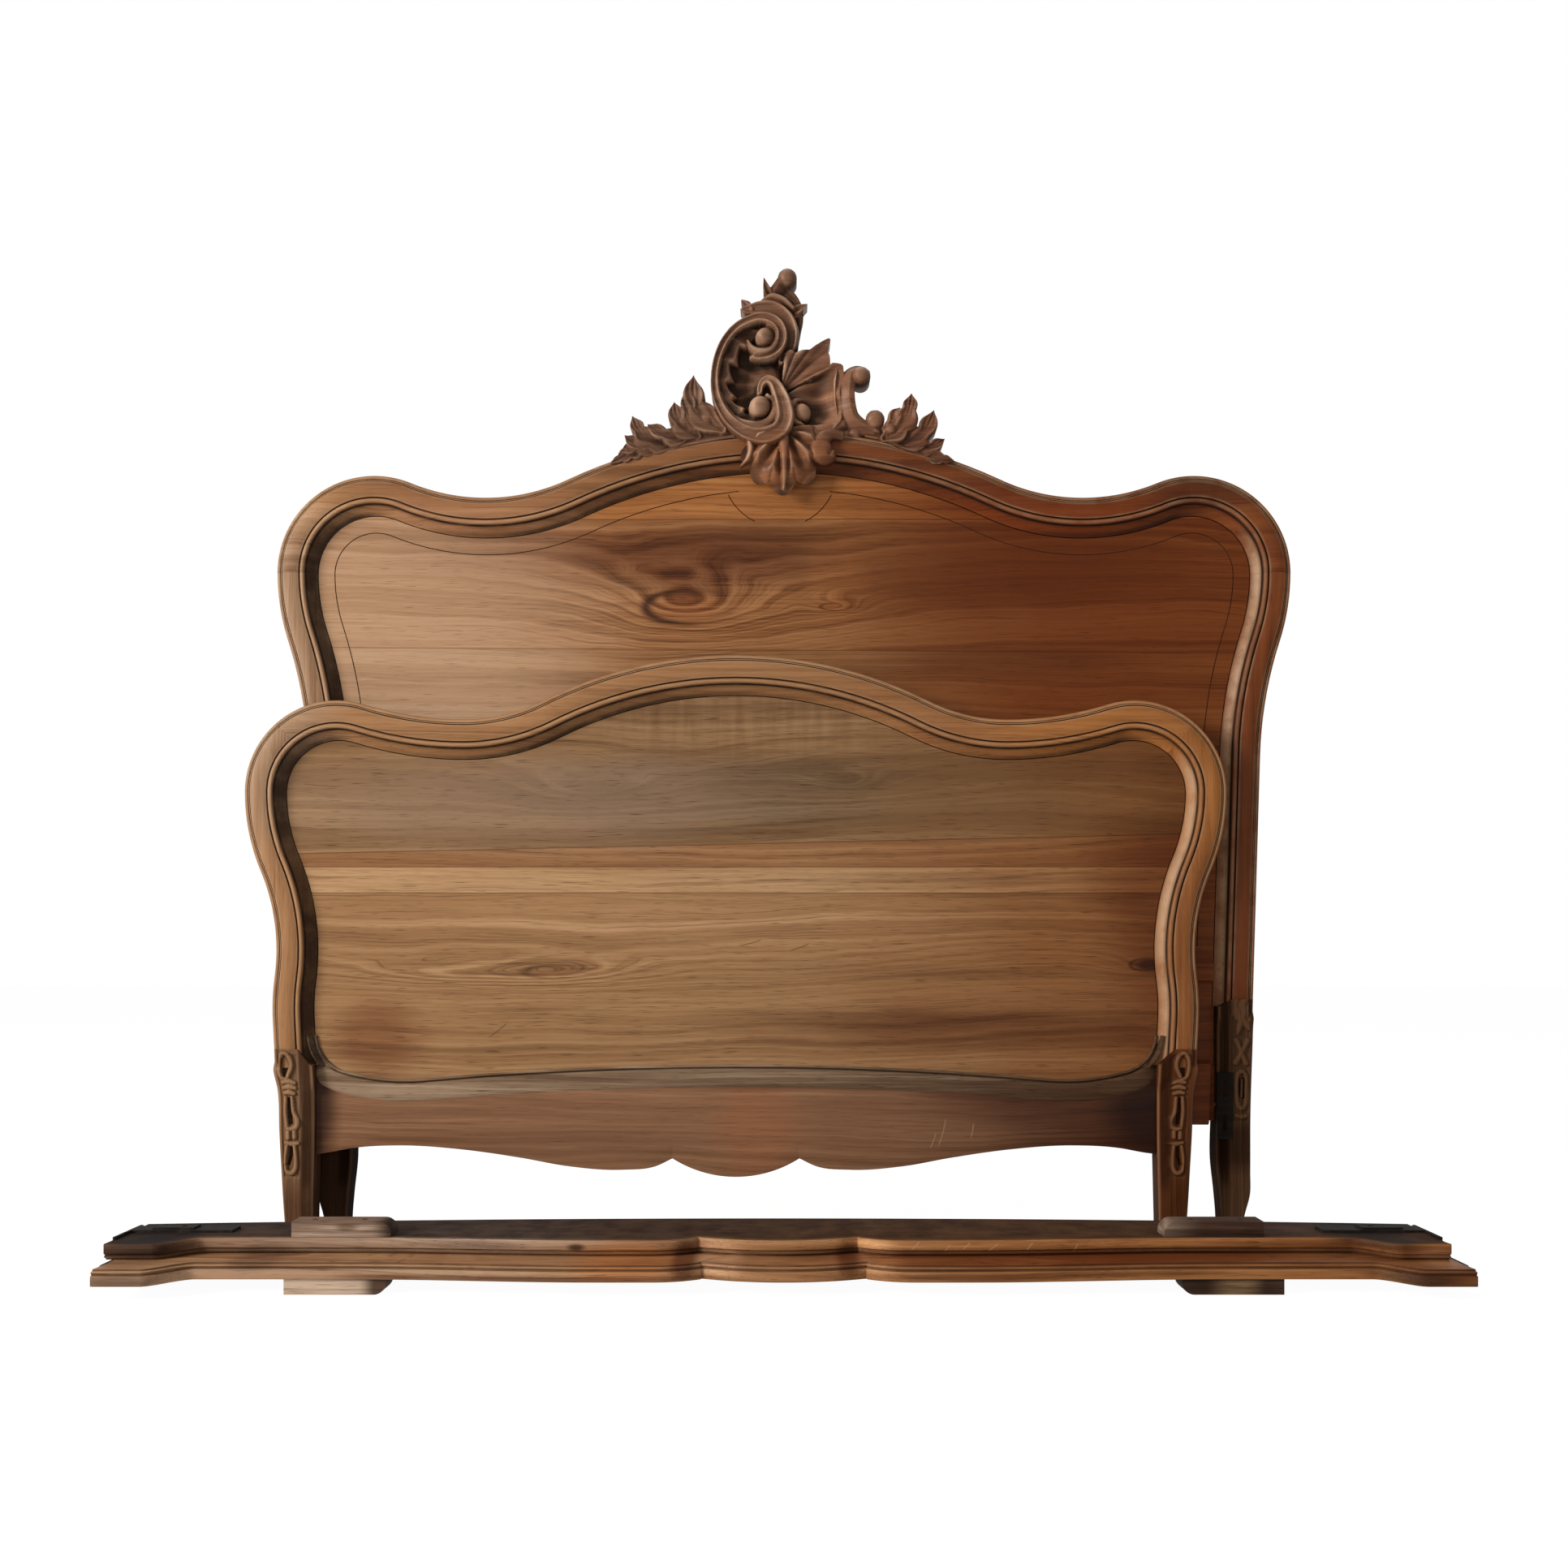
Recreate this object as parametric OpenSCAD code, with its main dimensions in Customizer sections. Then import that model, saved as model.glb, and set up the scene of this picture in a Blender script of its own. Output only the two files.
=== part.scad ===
// Carved walnut double bed, knocked down: the headboard stands at the back, the footboard
// in front of it, and the two side rails lie in a pile before them with their outer faces
// together. X runs across the bed, Y away from the viewer and Z up, with the floor at 0.

/* [Headboard] */
// Width across the widest part of the headboard
head_w = 1671; // [1600:1:1740]
// Height of the frame at its crown, without the crest
head_crown_z = 1331; // [1315:1:1350]
// Height of the dip between crown and shoulder
head_dip_z = 1222; // [1212:1:1232]
// Distance of the dip from the middle
head_dip_x = 492; // [470:1:510]
// Height of the top of the shoulder
head_shoulder_z = 1258; // [1248:1:1270]
// Radius of the shoulder
head_shoulder_r = 160; // [140:1:175]
// Radius of the dip on the crown's side
head_dip_r = 320; // [220:1:420]
// How far the post draws in below the shoulder
head_waist_in = 50; // [30:1:70]
// Radius of the flank under the shoulder
head_flank_r = 370; // [300:1:450]
// Radius of the waist above the straight post
head_waist_r = 680; // [500:1:800]
// Lean of the headboard's posts, in degrees
post_lean = 1.7; // [0.5:0.1:2.5]
// Height of the top of the middle rail
head_middle_z = 463; // [440:1:500]
// Height of the middle rail itself
head_middle_h = 42; // [34:1:50]
// Height of the lower edge of the bottom rail
head_bottom_z = 187; // [170:1:200]
// Height of the bottom rail itself
head_bottom_h = 110; // [90:1:125]
// Height of each moulded step along the edges of those rails
head_rail_step = 4.5; // [3:0.5:5.5]

/* [Footboard] */
// Width across the widest part of the footboard
foot_w = 1588; // [1540:1:1640]
// Height of the frame at its crown
foot_crown_z = 953; // [935:1:970]
// Height of the dip between crown and shoulder
foot_dip_z = 849; // [840:1:858]
// Distance of the dip from the middle
foot_dip_x = 440; // [420:1:460]
// Height of the top of the shoulder
foot_shoulder_z = 880; // [872:1:890]
// Radius of the shoulder
foot_shoulder_r = 149; // [135:1:160]
// Radius of the dip on the crown's side
foot_dip_r = 283; // [220:1:360]
// Part of the shoulder's quarter that belongs to the top rail, in degrees
foot_joint_turn = 41; // [30:1:55]
// How far the post draws in to its waist
foot_waist_in = 51; // [40:1:60]
// Radius of the flank under the shoulder
foot_flank_r = 329; // [290:1:370]
// Radius of the waist
foot_waist_r = 329; // [290:1:370]
// Outward turn of the post above its knee, in degrees
knee_out = 7.5; // [4:0.5:10]
// Radius of the knee
knee_r = 410; // [360:1:460]
// Lean of the leg under the knee, in degrees
leg_lean = 3; // [1:0.5:5]
// Height of the band under the panel at the middle
foot_band_z = 290; // [280:1:300]
// How far the band falls towards its sides
foot_band_fall = 24; // [12:1:34]
// Height of the band itself
foot_band_h = 38; // [30:1:44]
// Height of the apron's middle lobe above the floor
apron_z = 109; // [95:1:125]

/* [Frame moulding] */
// Width of the moulded frame
frame_w = 66; // [60:1:72]
// Thickness of the moulded frame
frame_t = 42; // [38:1:48]
// Width of the bead along the outer edge
bead_w = 6.5; // [5:0.5:8]
// Width of the sunk line beside a bead
quirk_w = 3; // [2:0.5:4]
// Width of the cushioned band
band_w = 26.5; // [22:0.5:30]
// Width of the inner bead
inner_bead_w = 10; // [8:0.5:11]
// Depth of the cove, from the inner bead down to the panel
cove_d = 15; // [11:0.5:16]
// Thickness of the panels
panel_t = 8; // [6:0.5:10]
// Depth of the panel's groove
groove_d = 12; // [8:0.5:14]

/* [Legs] */
// Thickness of the legs
leg_t = 45; // [44:1:52]
// Height at which the moulded post ends in the headboard's leg
head_leg_z = 395; // [380:1:410]
// Height at which the moulded post ends in the footboard's leg
foot_leg_z = 312; // [300:1:325]
// Width of the legs under the posts
leg_w = 60; // [54:1:64]
// Width of the headboard's feet
head_foot_w = 38; // [32:1:48]
// Width of the footboard's feet
foot_foot_w = 48; // [40:1:54]
// Height of the ankle, where a leg starts to narrow
ankle_z = 150; // [120:1:165]

/* [Side rails] */
// Length of a side rail between the posts
rail_len = 1880; // [1800:1:2000]
// Thickness of a side rail
rail_t = 23; // [20:1:28]
// Height of a side rail where its lower edge runs plain
rail_h = 105; // [95:1:125]
// Rise of the upper edge at the middle
rail_crown = 45; // [20:1:60]
// How far the ends reach below the plain edge
rail_end_drop = 45; // [30:1:55]
// Length of the deep part at each end
rail_end_len = 85; // [70:1:100]
// Half width of the lobe at the middle
rail_lobe_half = 114; // [95:1:130]
// Distance from the middle at which a side lobe starts to ease back
rail_ease_x = 250; // [230:1:280]
// Depth of the cusps between the lobes
rail_cusp_h = 24; // [18:1:28]
// How far the lobes reach below the plain edge
rail_lobe_drop = 20; // [14:1:28]
// Depth of the sunk moulding along the lower edge
rail_bead_t = 6; // [4:0.5:8]
// Length of a slat block
block_len = 142; // [120:1:160]
// Height of a slat block
block_h = 40; // [30:1:48]
// Thickness of a slat block
block_t = 22; // [18:1:26]
// Distance of the slat blocks from the middle
block_x = 552; // [500:1:600]

/* [Ironwork] */
// Length of the strap of a hook plate
strap_len = 150; // [120:1:170]
// Height of the strap
strap_h = 34; // [28:1:40]
// Thickness of the iron
iron_t = 4; // [3:0.5:5]
// How far a hook reaches out of the rail's end
hook_reach = 10; // [8:0.5:12]
// Height of a hook
hook_h = 22; // [18:1:26]
// Thickness of a hook
hook_t = 7; // [5:0.5:9]
// Diameter of the screws' shanks
screw_d = 4; // [3.5:0.5:5]
// Diameter of the screws' heads
screw_head_d = 8; // [7:0.5:9]
// Length of the screws
screw_len = 16; // [13:1:18]
// Distance of the headboard's keepers from the inner edge of its legs
head_keeper_in = 16.5; // [14:0.5:30]
// Distance of the footboard's keepers from the outer edge of its legs
foot_keeper_in = 16.5; // [14:0.5:30]
// Height of the rails' lower edge above the floor when the bed is up
rail_up_z = 190; // [180:1:205]

/* [Joinery] */
// Length of a tenon
tenon_len = 28; // [22:1:34]
// Thickness of a tenon
tenon_t = 12; // [9:0.5:14]
// Diameter of the pegs through the tenons
peg_d = 8; // [6:0.5:10]
// Diameter of the dowels in the frames' end joints
dowel_d = 12; // [9:0.5:13]
// Length of those dowels
dowel_len = 80; // [60:1:100]
// Space round a tenon, a panel or a dowel in its seat
fit = 0.2; // [0.1:0.05:0.4]

/* [Crest] */
// Height of the crest above the frame's crown
crest_rise = 266; // [240:1:290]
// Thickness of the crest above the frame
crest_t = 36; // [30:1:41]

/* [Layout] */
// Distance of the footboard's middle from the headboard's middle
foot_shift = -78; // [-120:1:0]
// Space between the footboard and the headboard
board_gap = 3; // [1:1:40]
// Distance of the lower rail's plain edge from the footboard's face
pile_forward = 340; // [280:1:420]
// How far the upper rail is set back on the lower one
pile_step = 60; // [0:1:60]
// How far the two rails are out of line lengthwise
pile_skew = 9; // [0:1:30]

/* [Hidden] */

walnut = "#8a5a35";
walnut_dark = "#70452a";
walnut_pale = "#a57a50";
iron = "#3b3734";

// Places of the four assemblies. The whole set is centred on X and Y.
pile_front = -pile_forward - rail_end_drop;
head_back = frame_t + board_gap + leg_t;
set_middle_y = (pile_front + head_back) / 2;
head_place = [pile_skew / 2, head_back - set_middle_y, 0];
foot_place = [head_place[0] + foot_shift, frame_t - set_middle_y, 0];
lower_place = [pile_skew / 2, -pile_forward - set_middle_y, block_t];
upper_place = [-pile_skew / 2, lower_place[1] + pile_step, block_t + 2 * rail_t];

// A station on a path is [x, z, heading], with the heading in degrees above +X. A run is
// [radius, turn] for an arc, where a positive turn goes clockwise, or [length, 0].
function right_of(heading) = [sin(heading), -cos(heading)];
function arc_centre(s, run) = [s[0], s[1]] + sign(run[1]) * run[0] * right_of(s[2]);
function along(s, run, part) = run[1] == 0
  ? [s[0] + part * run[0] * cos(s[2]), s[1] + part * run[0] * sin(s[2]), s[2]]
  : let (heading = s[2] - part * run[1],
         p = arc_centre(s, run) - sign(run[1]) * run[0] * right_of(heading))
    [p[0], p[1], heading];
function run_start(s, runs, i) = i == 0 ? s : along(run_start(s, runs, i - 1), runs[i - 1], 1);
function run_steps(run, step) = run[1] == 0 ? 1 : max(2, ceil(abs(run[1]) / step));
function stations(s, runs, step) = concat([s], [
  for (i = [0:len(runs) - 1])
    let (first = run_start(s, runs, i), n = run_steps(runs[i], step))
      for (k = [1:n]) along(first, runs[i], k / n)
]);
function mirrored(list) = [for (i = [len(list) - 1:-1:0]) [-list[i][0], list[i][1], -list[i][2]]];
function both_sides(list) = concat(mirrored([for (i = [1:len(list) - 1]) list[i]]), list);
function inset_line(list, u) = [for (s = list) [s[0], s[1]] + u * right_of(s[2])];

// Points on a circular bow in a section or an outline.
function bow(x, y, r, from, to, n) = [
  for (i = [0:n]) let (a = from + (to - from) * i / n) [x + r * cos(a), y + r * sin(a)]
];

// Ear clipping, for the end faces of a swept section.
function side_of(a, b, p) = (b[0] - a[0]) * (p[1] - a[1]) - (b[1] - a[1]) * (p[0] - a[0]);
function holds(a, b, c, p) = side_of(a, b, p) >= 0 && side_of(b, c, p) >= 0 && side_of(c, a, p) >= 0;
function is_ear(pts, a, b, c, rest) = side_of(pts[a], pts[b], pts[c]) > 0
  && len([for (k = rest) if (k != a && k != b && k != c && holds(pts[a], pts[b], pts[c], pts[k])) k]) == 0;
function ears(pts, idx) = len(idx) < 3 ? [] :
  let (n = len(idx),
       found = [for (i = [0:n - 1]) if (is_ear(pts, idx[(i + n - 1) % n], idx[i], idx[(i + 1) % n], idx)) i],
       i = len(found) > 0 ? found[0] : 0)
    concat([[idx[(i + n - 1) % n], idx[i], idx[(i + 1) % n]]],
      ears(pts, [for (k = [0:n - 1]) if (k != i) idx[k]]));

// A section, as points [inward, forward] in clockwise order, carried along stations.
module swept(list, section) {
  m = len(section);
  n = len(list);
  points = [
    for (s = list) let (r = right_of(s[2]))
      for (p = section) [s[0] + p[0] * r[0], -p[1], s[1] + p[0] * r[1]]
  ];
  sides = [
    for (i = [0:n - 2]) for (k = [0:m - 1]) let (a = i * m + k, b = i * m + (k + 1) % m) [a + m, b + m, b, a]
  ];
  first = ears([for (p = section) [p[0], -p[1]]], [for (k = [0:m - 1]) k]);
  last = [for (t = first) [t[2] + (n - 1) * m, t[1] + (n - 1) * m, t[0] + (n - 1) * m]];
  polyhedron(points, concat(sides, first, last));
}

// The frame's moulding: outer bead, sunk line, cushioned band, sunk line, inner bead and cove.
panel_front = frame_t - 2 - cove_d - 3;
cove_foot = panel_front + 2;
band_from = bead_w + quirk_w;
band_to = band_from + band_w;
inner_from = band_to + quirk_w * 2 / 3;
inner_to = inner_from + inner_bead_w;
frame_section = concat(
  [[0, 0], [0, frame_t - 6]],
  bow(bead_w / 2, frame_t - 6, bead_w / 2, 140, 20, 2),
  [[bead_w, frame_t - 8], [band_from - 0.5, frame_t - 8], [band_from, frame_t - 3]],
  [[band_from + band_w / 4, frame_t - 0.6], [band_from + band_w / 2, frame_t]],
  [[band_to - band_w / 4, frame_t - 0.6]],
  [[band_to, frame_t - 3], [band_to + 0.5, frame_t - 6], [inner_from, frame_t - 6]],
  bow((inner_from + inner_to) / 2, frame_t - 5, inner_bead_w / 2, 140, 20, 2),
  [for (i = [0:3]) [
    inner_to + (frame_w - inner_to) * (1 - cos(i * 30)),
    cove_foot + (frame_t - 7 - cove_foot) * (1 - sin(i * 30))
  ]],
  [[frame_w, 0]]
);

// Two arcs that leave level, swing by the same angle and end level again.
function swing(sum_r, rise) = acos(1 - abs(rise) / sum_r);
function sum_of_radii(across, rise) = (across * across + rise * rise) / (2 * abs(rise));

// The path of a board's outer edge, from the middle of the crown to the shoulder's side.
function board_runs(w, crown_z, dip_z, dip_x, shoulder_z, shoulder_r, dip_r, last_turn) =
  let (crown_sum = sum_of_radii(dip_x, crown_z - dip_z),
       side_sum = sum_of_radii(w / 2 - shoulder_r - dip_x, shoulder_z - dip_z),
       a = swing(crown_sum, crown_z - dip_z),
       b = swing(side_sum, shoulder_z - dip_z))
    [[crown_sum - dip_r, a], [dip_r, -a], [side_sum - shoulder_r, -b], [shoulder_r, b + last_turn]];

head_start = [0, head_crown_z, 0];
head_rail_runs = board_runs(
  head_w, head_crown_z, head_dip_z, head_dip_x, head_shoulder_z, head_shoulder_r, head_dip_r, 90);
head_joint = run_start(head_start, head_rail_runs, 4);
head_flank_turn = acos(
  (head_flank_r + head_waist_r * cos(post_lean) - head_waist_in) / (head_flank_r + head_waist_r));
head_curved_runs = [[head_flank_r, head_flank_turn], [head_waist_r, post_lean - head_flank_turn]];
head_post_top = run_start(head_joint, head_curved_runs, 2);
function down_to(s, z) = (s[1] - z) / -sin(s[2]);
head_post_runs = concat(head_curved_runs, [[down_to(head_post_top, head_leg_z - 8), 0]]);

foot_start = [0, foot_crown_z, 0];
foot_rail_runs = board_runs(
  foot_w, foot_crown_z, foot_dip_z, foot_dip_x, foot_shoulder_z, foot_shoulder_r, foot_dip_r, foot_joint_turn);
foot_joint = run_start(foot_start, foot_rail_runs, 4);
foot_flank_turn = acos((foot_flank_r + foot_waist_r - foot_waist_in) / (foot_flank_r + foot_waist_r));
foot_curved_runs = [
  [foot_shoulder_r, 90 - foot_joint_turn],
  [foot_flank_r, foot_flank_turn],
  [foot_waist_r, -foot_flank_turn - knee_out],
  [knee_r, knee_out + leg_lean]
];
foot_post_top = run_start(foot_joint, foot_curved_runs, 4);
foot_post_runs = concat(foot_curved_runs, [[max(2, down_to(foot_post_top, foot_leg_z - 8)), 0]]);

head_rail_line = stations(head_start, head_rail_runs, 8);
head_post_line = stations(head_joint, head_post_runs, 6);
foot_rail_line = stations(foot_start, foot_rail_runs, 8);
foot_post_line = stations(foot_joint, foot_post_runs, 8);

// X of a leaning edge at a height, for a line inset from the straight run that starts at s.
function edge_x(s, u, z) = let (p = [s[0], s[1]] + u * right_of(s[2])) p[0] - (p[1] - z) * tan(-90 - s[2]);

// Outline of a leg below the post, as seen from the front: outer edge, foot and inner edge.
function leg_outline(s, top_z, foot_width, ankle_in) = let (
    x_top = edge_x(s, 0, top_z), x_ankle = edge_x(s, 0, ankle_z), x_foot = edge_x(s, 0, 0) - ankle_in)
  concat(
    [[x_top - leg_w - 6, top_z], [x_top, top_z], [x_ankle, ankle_z], [x_ankle - 1, ankle_z * 0.72]],
    [[x_foot - 1, ankle_z * 0.42], [x_foot + 2, ankle_z * 0.3], [x_foot + 2, ankle_z * 0.2], [x_foot - 3, 0]],
    [[x_foot - foot_width + 3, 0], [x_foot - foot_width - 1, ankle_z * 0.25]],
    [[x_foot - foot_width, ankle_z * 0.45]],
    [[x_ankle - leg_w + 2, ankle_z * 0.8], [x_ankle - leg_w, ankle_z + 12], [x_top - leg_w, top_z - 24]]
  );

// A slab in a board: an outline in X and Z between two depths in front of the back.
module slab(outline, from, to) {
  translate([0, -from, 0]) rotate([90, 0, 0]) linear_extrude(to - from) polygon(outline);
}

module bolt_y(x, z, d, from, to) {
  translate([x, -from, z]) rotate([90, 0, 0]) cylinder(d = d, h = to - from, $fn = 32);
}

module place(p) {
  translate(p) children();
}

// Inner outlines of the two framed fields, widened by grow beyond the sight line.
function field(rail_line, post_line, grow, foot_z) = let (
    half = inset_line(concat(rail_line, [for (i = [1:len(post_line) - 2]) post_line[i]]), frame_w - grow),
    last = post_line[len(post_line) - 1],
    side = concat([for (p = half) if (p[1] > foot_z) p], [[edge_x(last, frame_w - grow, foot_z), foot_z]]))
  concat([for (i = [len(side) - 1:-1:1]) [-side[i][0], side[i][1]]], side);

panel_back = panel_front - panel_t;
tongue = groove_d - 1;
head_field_z = head_middle_z;
foot_field_z = foot_band_z - foot_band_fall - foot_band_h / 2;

module headboard_groove() {
  slab(field(head_rail_line, head_post_line, groove_d, head_field_z - groove_d),
    panel_back - fit, panel_front + fit);
}

module headboard_panel() color(walnut_pale) place(head_place) {
  slab(field(head_rail_line, head_post_line, tongue, head_field_z - tongue), panel_back, panel_front);
}

// Rails of the headboard and the tenons that carry them.
bottom_top_z = head_bottom_z + head_bottom_h;
tenon_back = 10;
head_rail_front = frame_t - 8;
head_last = head_post_line[len(head_post_line) - 1];

function rail_outline(z0, z1, out) = [
  [-edge_x(head_last, frame_w, z0) - out, z0], [edge_x(head_last, frame_w, z0) + out, z0],
  [edge_x(head_last, frame_w, z1) + out, z1], [-edge_x(head_last, frame_w, z1) - out, z1]
];

module head_tenons(z0, z1, room) {
  slab(rail_outline(z0 + 6 - room, z1 - 6 + room, tenon_len + room),
    tenon_back - room, tenon_back + tenon_t + room);
}

module lower_panel_space(grow, room) {
  out = edge_x(head_last, frame_w, head_bottom_z) + grow;
  z0 = bottom_top_z - grow;
  z1 = head_middle_z - head_middle_h + grow;
  slab([[-out, z0], [out, z0], [out, z1], [-out, z1]], panel_back - room, panel_front + room);
}

// A rail of the headboard: its section, as points [height above the back, z], run across the
// board between the posts.
module head_rail(section, z0, z1) {
  intersection() {
    translate([-head_w / 2, 0, 0]) rotate([90, 0, 90]) linear_extrude(head_w)
      polygon([for (p = section) [-p[0], p[1]]]);
    slab(rail_outline(z0 - 1, z1 + 1, 0), -1, frame_t + 1);
  }
  head_tenons(z0, z1, 0);
}

module headboard_middle_rail() color(walnut) place(head_place) difference() {
  z0 = head_middle_z - head_middle_h;
  z1 = head_middle_z;
  step = head_rail_step;
  head_rail([
    [0, z0], [panel_front + 2, z0], [panel_front + 4, z0 + step / 2], [head_rail_front, z0 + step],
    [head_rail_front, z1 - 2 * step], [panel_front + 5, z1 - 2 * step], [panel_front + 5, z1 - step],
    [panel_front + 2, z1 - step], [panel_front + 2, z1], [0, z1]
  ], z0, z1);
  headboard_groove();
  lower_panel_space(groove_d, fit);
  peg_bores(head_peg_spots, fit);
}

module headboard_lower_panel() color(walnut_pale) place(head_place) lower_panel_space(tongue, 0);

module headboard_bottom_rail() color(walnut) place(head_place) difference() {
  z0 = head_bottom_z;
  z1 = bottom_top_z;
  step = head_rail_step;
  head_rail([
    [0, z0], [head_rail_front - step, z0], [head_rail_front, z0 + step], [head_rail_front, z1 - 2 * step],
    [panel_front + 5, z1 - step], [panel_front + 2, z1 - step / 2], [panel_front + 2, z1], [0, z1]
  ], z0, z1);
  lower_panel_space(groove_d, fit);
  peg_bores(head_peg_spots, fit);
}

// Pegs go in from the back, through the tenons.
function peg_spot(z) = [edge_x(head_last, frame_w - tenon_len / 2, z), z];
head_peg_spots = [
  peg_spot(head_middle_z - head_middle_h / 2),
  peg_spot(head_bottom_z + head_bottom_h * 0.3), peg_spot(head_bottom_z + head_bottom_h * 0.7)
];
peg_len = tenon_back + tenon_t + 6;

module peg_bores(spots, room) {
  for (p = spots) for (side = [-1, 1]) bolt_y(side * p[0], p[1], peg_d + room, -1, peg_len + room);
}

module headboard_pegs() color(walnut_dark) place(head_place)
  for (p = head_peg_spots) for (side = [-1, 1]) bolt_y(side * p[0], p[1], peg_d, 0, peg_len);

// Dowels across the joint between a post and its top rail, two on each side.
module joint_dowels(s, room, extra) {
  for (u = [14, 34])
    let (r = right_of(s[2]), x = s[0] + u * r[0], z = s[1] + u * r[1])
      translate([x, -panel_back + 2, z]) rotate([0, 90 - s[2], 0])
        cylinder(d = dowel_d + room, h = dowel_len + extra, center = true, $fn = 32);
}

module headboard_dowels() color(walnut_pale) place(head_place)
  for (side = [0, 1]) mirror([side, 0, 0]) joint_dowels(head_joint, 0, 0);

// Iron keepers are let into the front of the headboard's legs and the back of the footboard's.
keeper_h = 110;
keeper_w = 26;
slot_h = hook_h + 4;
rail_mid_up = rail_up_z + rail_h / 2 - rail_end_drop / 2;
hook_spots = [-28, 28];
foot_last = foot_post_line[len(foot_post_line) - 1];
// The headboard is the wider one, so its keepers lie near its legs' inner edges and the footboard's
// near the outer ones. That puts both pairs on one line.
head_keeper_x = edge_x(head_last, leg_w, rail_mid_up) + head_keeper_in;
foot_keeper_x = edge_x(foot_last, 0, rail_mid_up) - foot_keeper_in;

module keeper_plate(room, depth) {
  translate([-keeper_w / 2 - room, -depth, -keeper_h / 2 - room])
    cube([keeper_w + 2 * room, depth, keeper_h + 2 * room]);
}

module keeper_slots(extra) {
  for (z = hook_spots)
    translate([-hook_t / 2 - extra, -40, z - slot_h / 2]) cube([hook_t + 2 * extra, 80, slot_h]);
}

screw_rows = [-keeper_h / 2 + 8, 0, keeper_h / 2 - 8];

// A countersunk screw with its head at Y 0, driven towards +Y, and the hole for it.
module screw(length) rotate([90, 0, 0]) {
  translate([0, 0, -iron_t]) cylinder(d1 = screw_d, d2 = screw_head_d, h = iron_t, $fn = 32);
  translate([0, 0, -length]) cylinder(d = screw_d, h = length - iron_t + 0.5, $fn = 32);
}

module screw_hole(length) rotate([90, 0, 0]) {
  translate([0, 0, -iron_t - fit])
    cylinder(d1 = screw_d + fit, d2 = screw_head_d + fit, h = iron_t + fit, $fn = 32);
  translate([0, 0, -0.1]) cylinder(d = screw_head_d + fit, h = 6, $fn = 32);
  translate([0, 0, -length - fit]) cylinder(d = screw_d + fit, h = length, $fn = 32);
}

// Puts a keeper's children, drawn with the face at Y 0 and the wood behind it, on a leg.
module on_head_leg(side) {
  translate([side * head_keeper_x, -leg_t, rail_mid_up]) children();
}

module on_foot_leg(side) {
  translate([side * foot_keeper_x, 0, rail_mid_up]) rotate([0, 0, 180]) children();
}

module keeper() difference() {
  translate([0, iron_t, 0]) keeper_plate(0, iron_t);
  keeper_slots(0.4);
  for (z = screw_rows) translate([0, 0, z]) screw_hole(screw_len);
}

module keeper_seat() {
  translate([0, iron_t, 0]) keeper_plate(fit, iron_t + 1);
  for (z = hook_spots)
    translate([-hook_t / 2 - 1, 0, z - slot_h / 2 - 1])
      cube([hook_t + 2, iron_t + hook_reach + 4, slot_h + 2]);
  for (z = screw_rows)
    translate([0, 0, z]) rotate([-90, 0, 0]) cylinder(d = screw_d + fit, h = screw_len + fit, $fn = 32);
}

module headboard_keepers() color(iron) place(head_place)
  for (side = [-1, 1]) on_head_leg(side) keeper();

module headboard_keeper_screws() color(iron) place(head_place)
  for (side = [-1, 1]) on_head_leg(side) for (z = screw_rows) translate([0, 0, z]) screw(screw_len);

module footboard_keepers() color(iron) place(foot_place)
  for (side = [-1, 1]) on_foot_leg(side) keeper();

module footboard_keeper_screws() color(iron) place(foot_place)
  for (side = [-1, 1]) on_foot_leg(side) for (z = screw_rows) translate([0, 0, z]) screw(screw_len);

module headboard_post() {
  difference() {
    union() {
      swept(head_post_line, frame_section);
      slab(leg_outline(head_last, head_leg_z, head_foot_w, 8), 0, leg_t);
    }
    headboard_groove();
    lower_panel_space(groove_d, fit);
    head_tenons(head_middle_z - head_middle_h, head_middle_z, fit);
    head_tenons(head_bottom_z, bottom_top_z, fit);
    peg_bores(head_peg_spots, fit);
    joint_dowels(head_joint, fit, 1);
    on_head_leg(1) keeper_seat();
  }
}

module headboard_right_post() color(walnut) place(head_place) headboard_post();

module headboard_left_post() color(walnut) place(head_place) mirror([1, 0, 0]) headboard_post();

module headboard_top_rail() color(walnut) place(head_place) difference() {
  swept(both_sides(head_rail_line), frame_section);
  headboard_groove();
  joint_dowels(head_joint, fit, 1);
  mirror([1, 0, 0]) joint_dowels(head_joint, fit, 1);
  crest_dowel_set(fit, 1);
}

// The crest. Its knots are [x, height above the crown, half width, depth in front of the back], drawn
// for a rise of 266 and a frame 42 thick. They follow both sizes.
cz = head_crown_z;
lift = crest_rise / 266;
relief = frame_t / 42;
crest_back = 8;
function crest_x(x) = x * lift;
function up(z) = cz + z * lift;
function crest_outline(list) = [for (p = list) [crest_x(p[0]), up(p[1])]];

// A smooth curve through knots of any length, with n steps a span.
function knot(k, i) = k[max(0, min(len(k) - 1, i))];
function curve_point(k, i, t) =
  let (a = knot(k, i - 1), b = knot(k, i), c = knot(k, i + 1), d = knot(k, i + 2))
  b + 0.5 * t * (c - a + t * (2 * a - 5 * b + 4 * c - d + t * (3 * (b - c) + d - a)));
function curve(k, n) =
  concat([for (i = [0:len(k) - 2]) for (j = [0:n - 1]) curve_point(k, i, j / n)], [k[len(k) - 1]]);

// Sections of carved ribbons: [across, drop], both as shares of the half width.
round_top = [[-1, 0.9], [-0.6, 0.25], [0, 0], [0.6, 0.25], [1, 0.9]];
hollow_top = [[-1, 0.5], [-0.72, 0.05], [0, 0.4], [0.72, 0.05], [1, 0.5]];
leaf_top = [[-1, 0.4], [-0.5, 0], [0, 0.4], [0.5, 0], [1, 0.4]];

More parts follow.
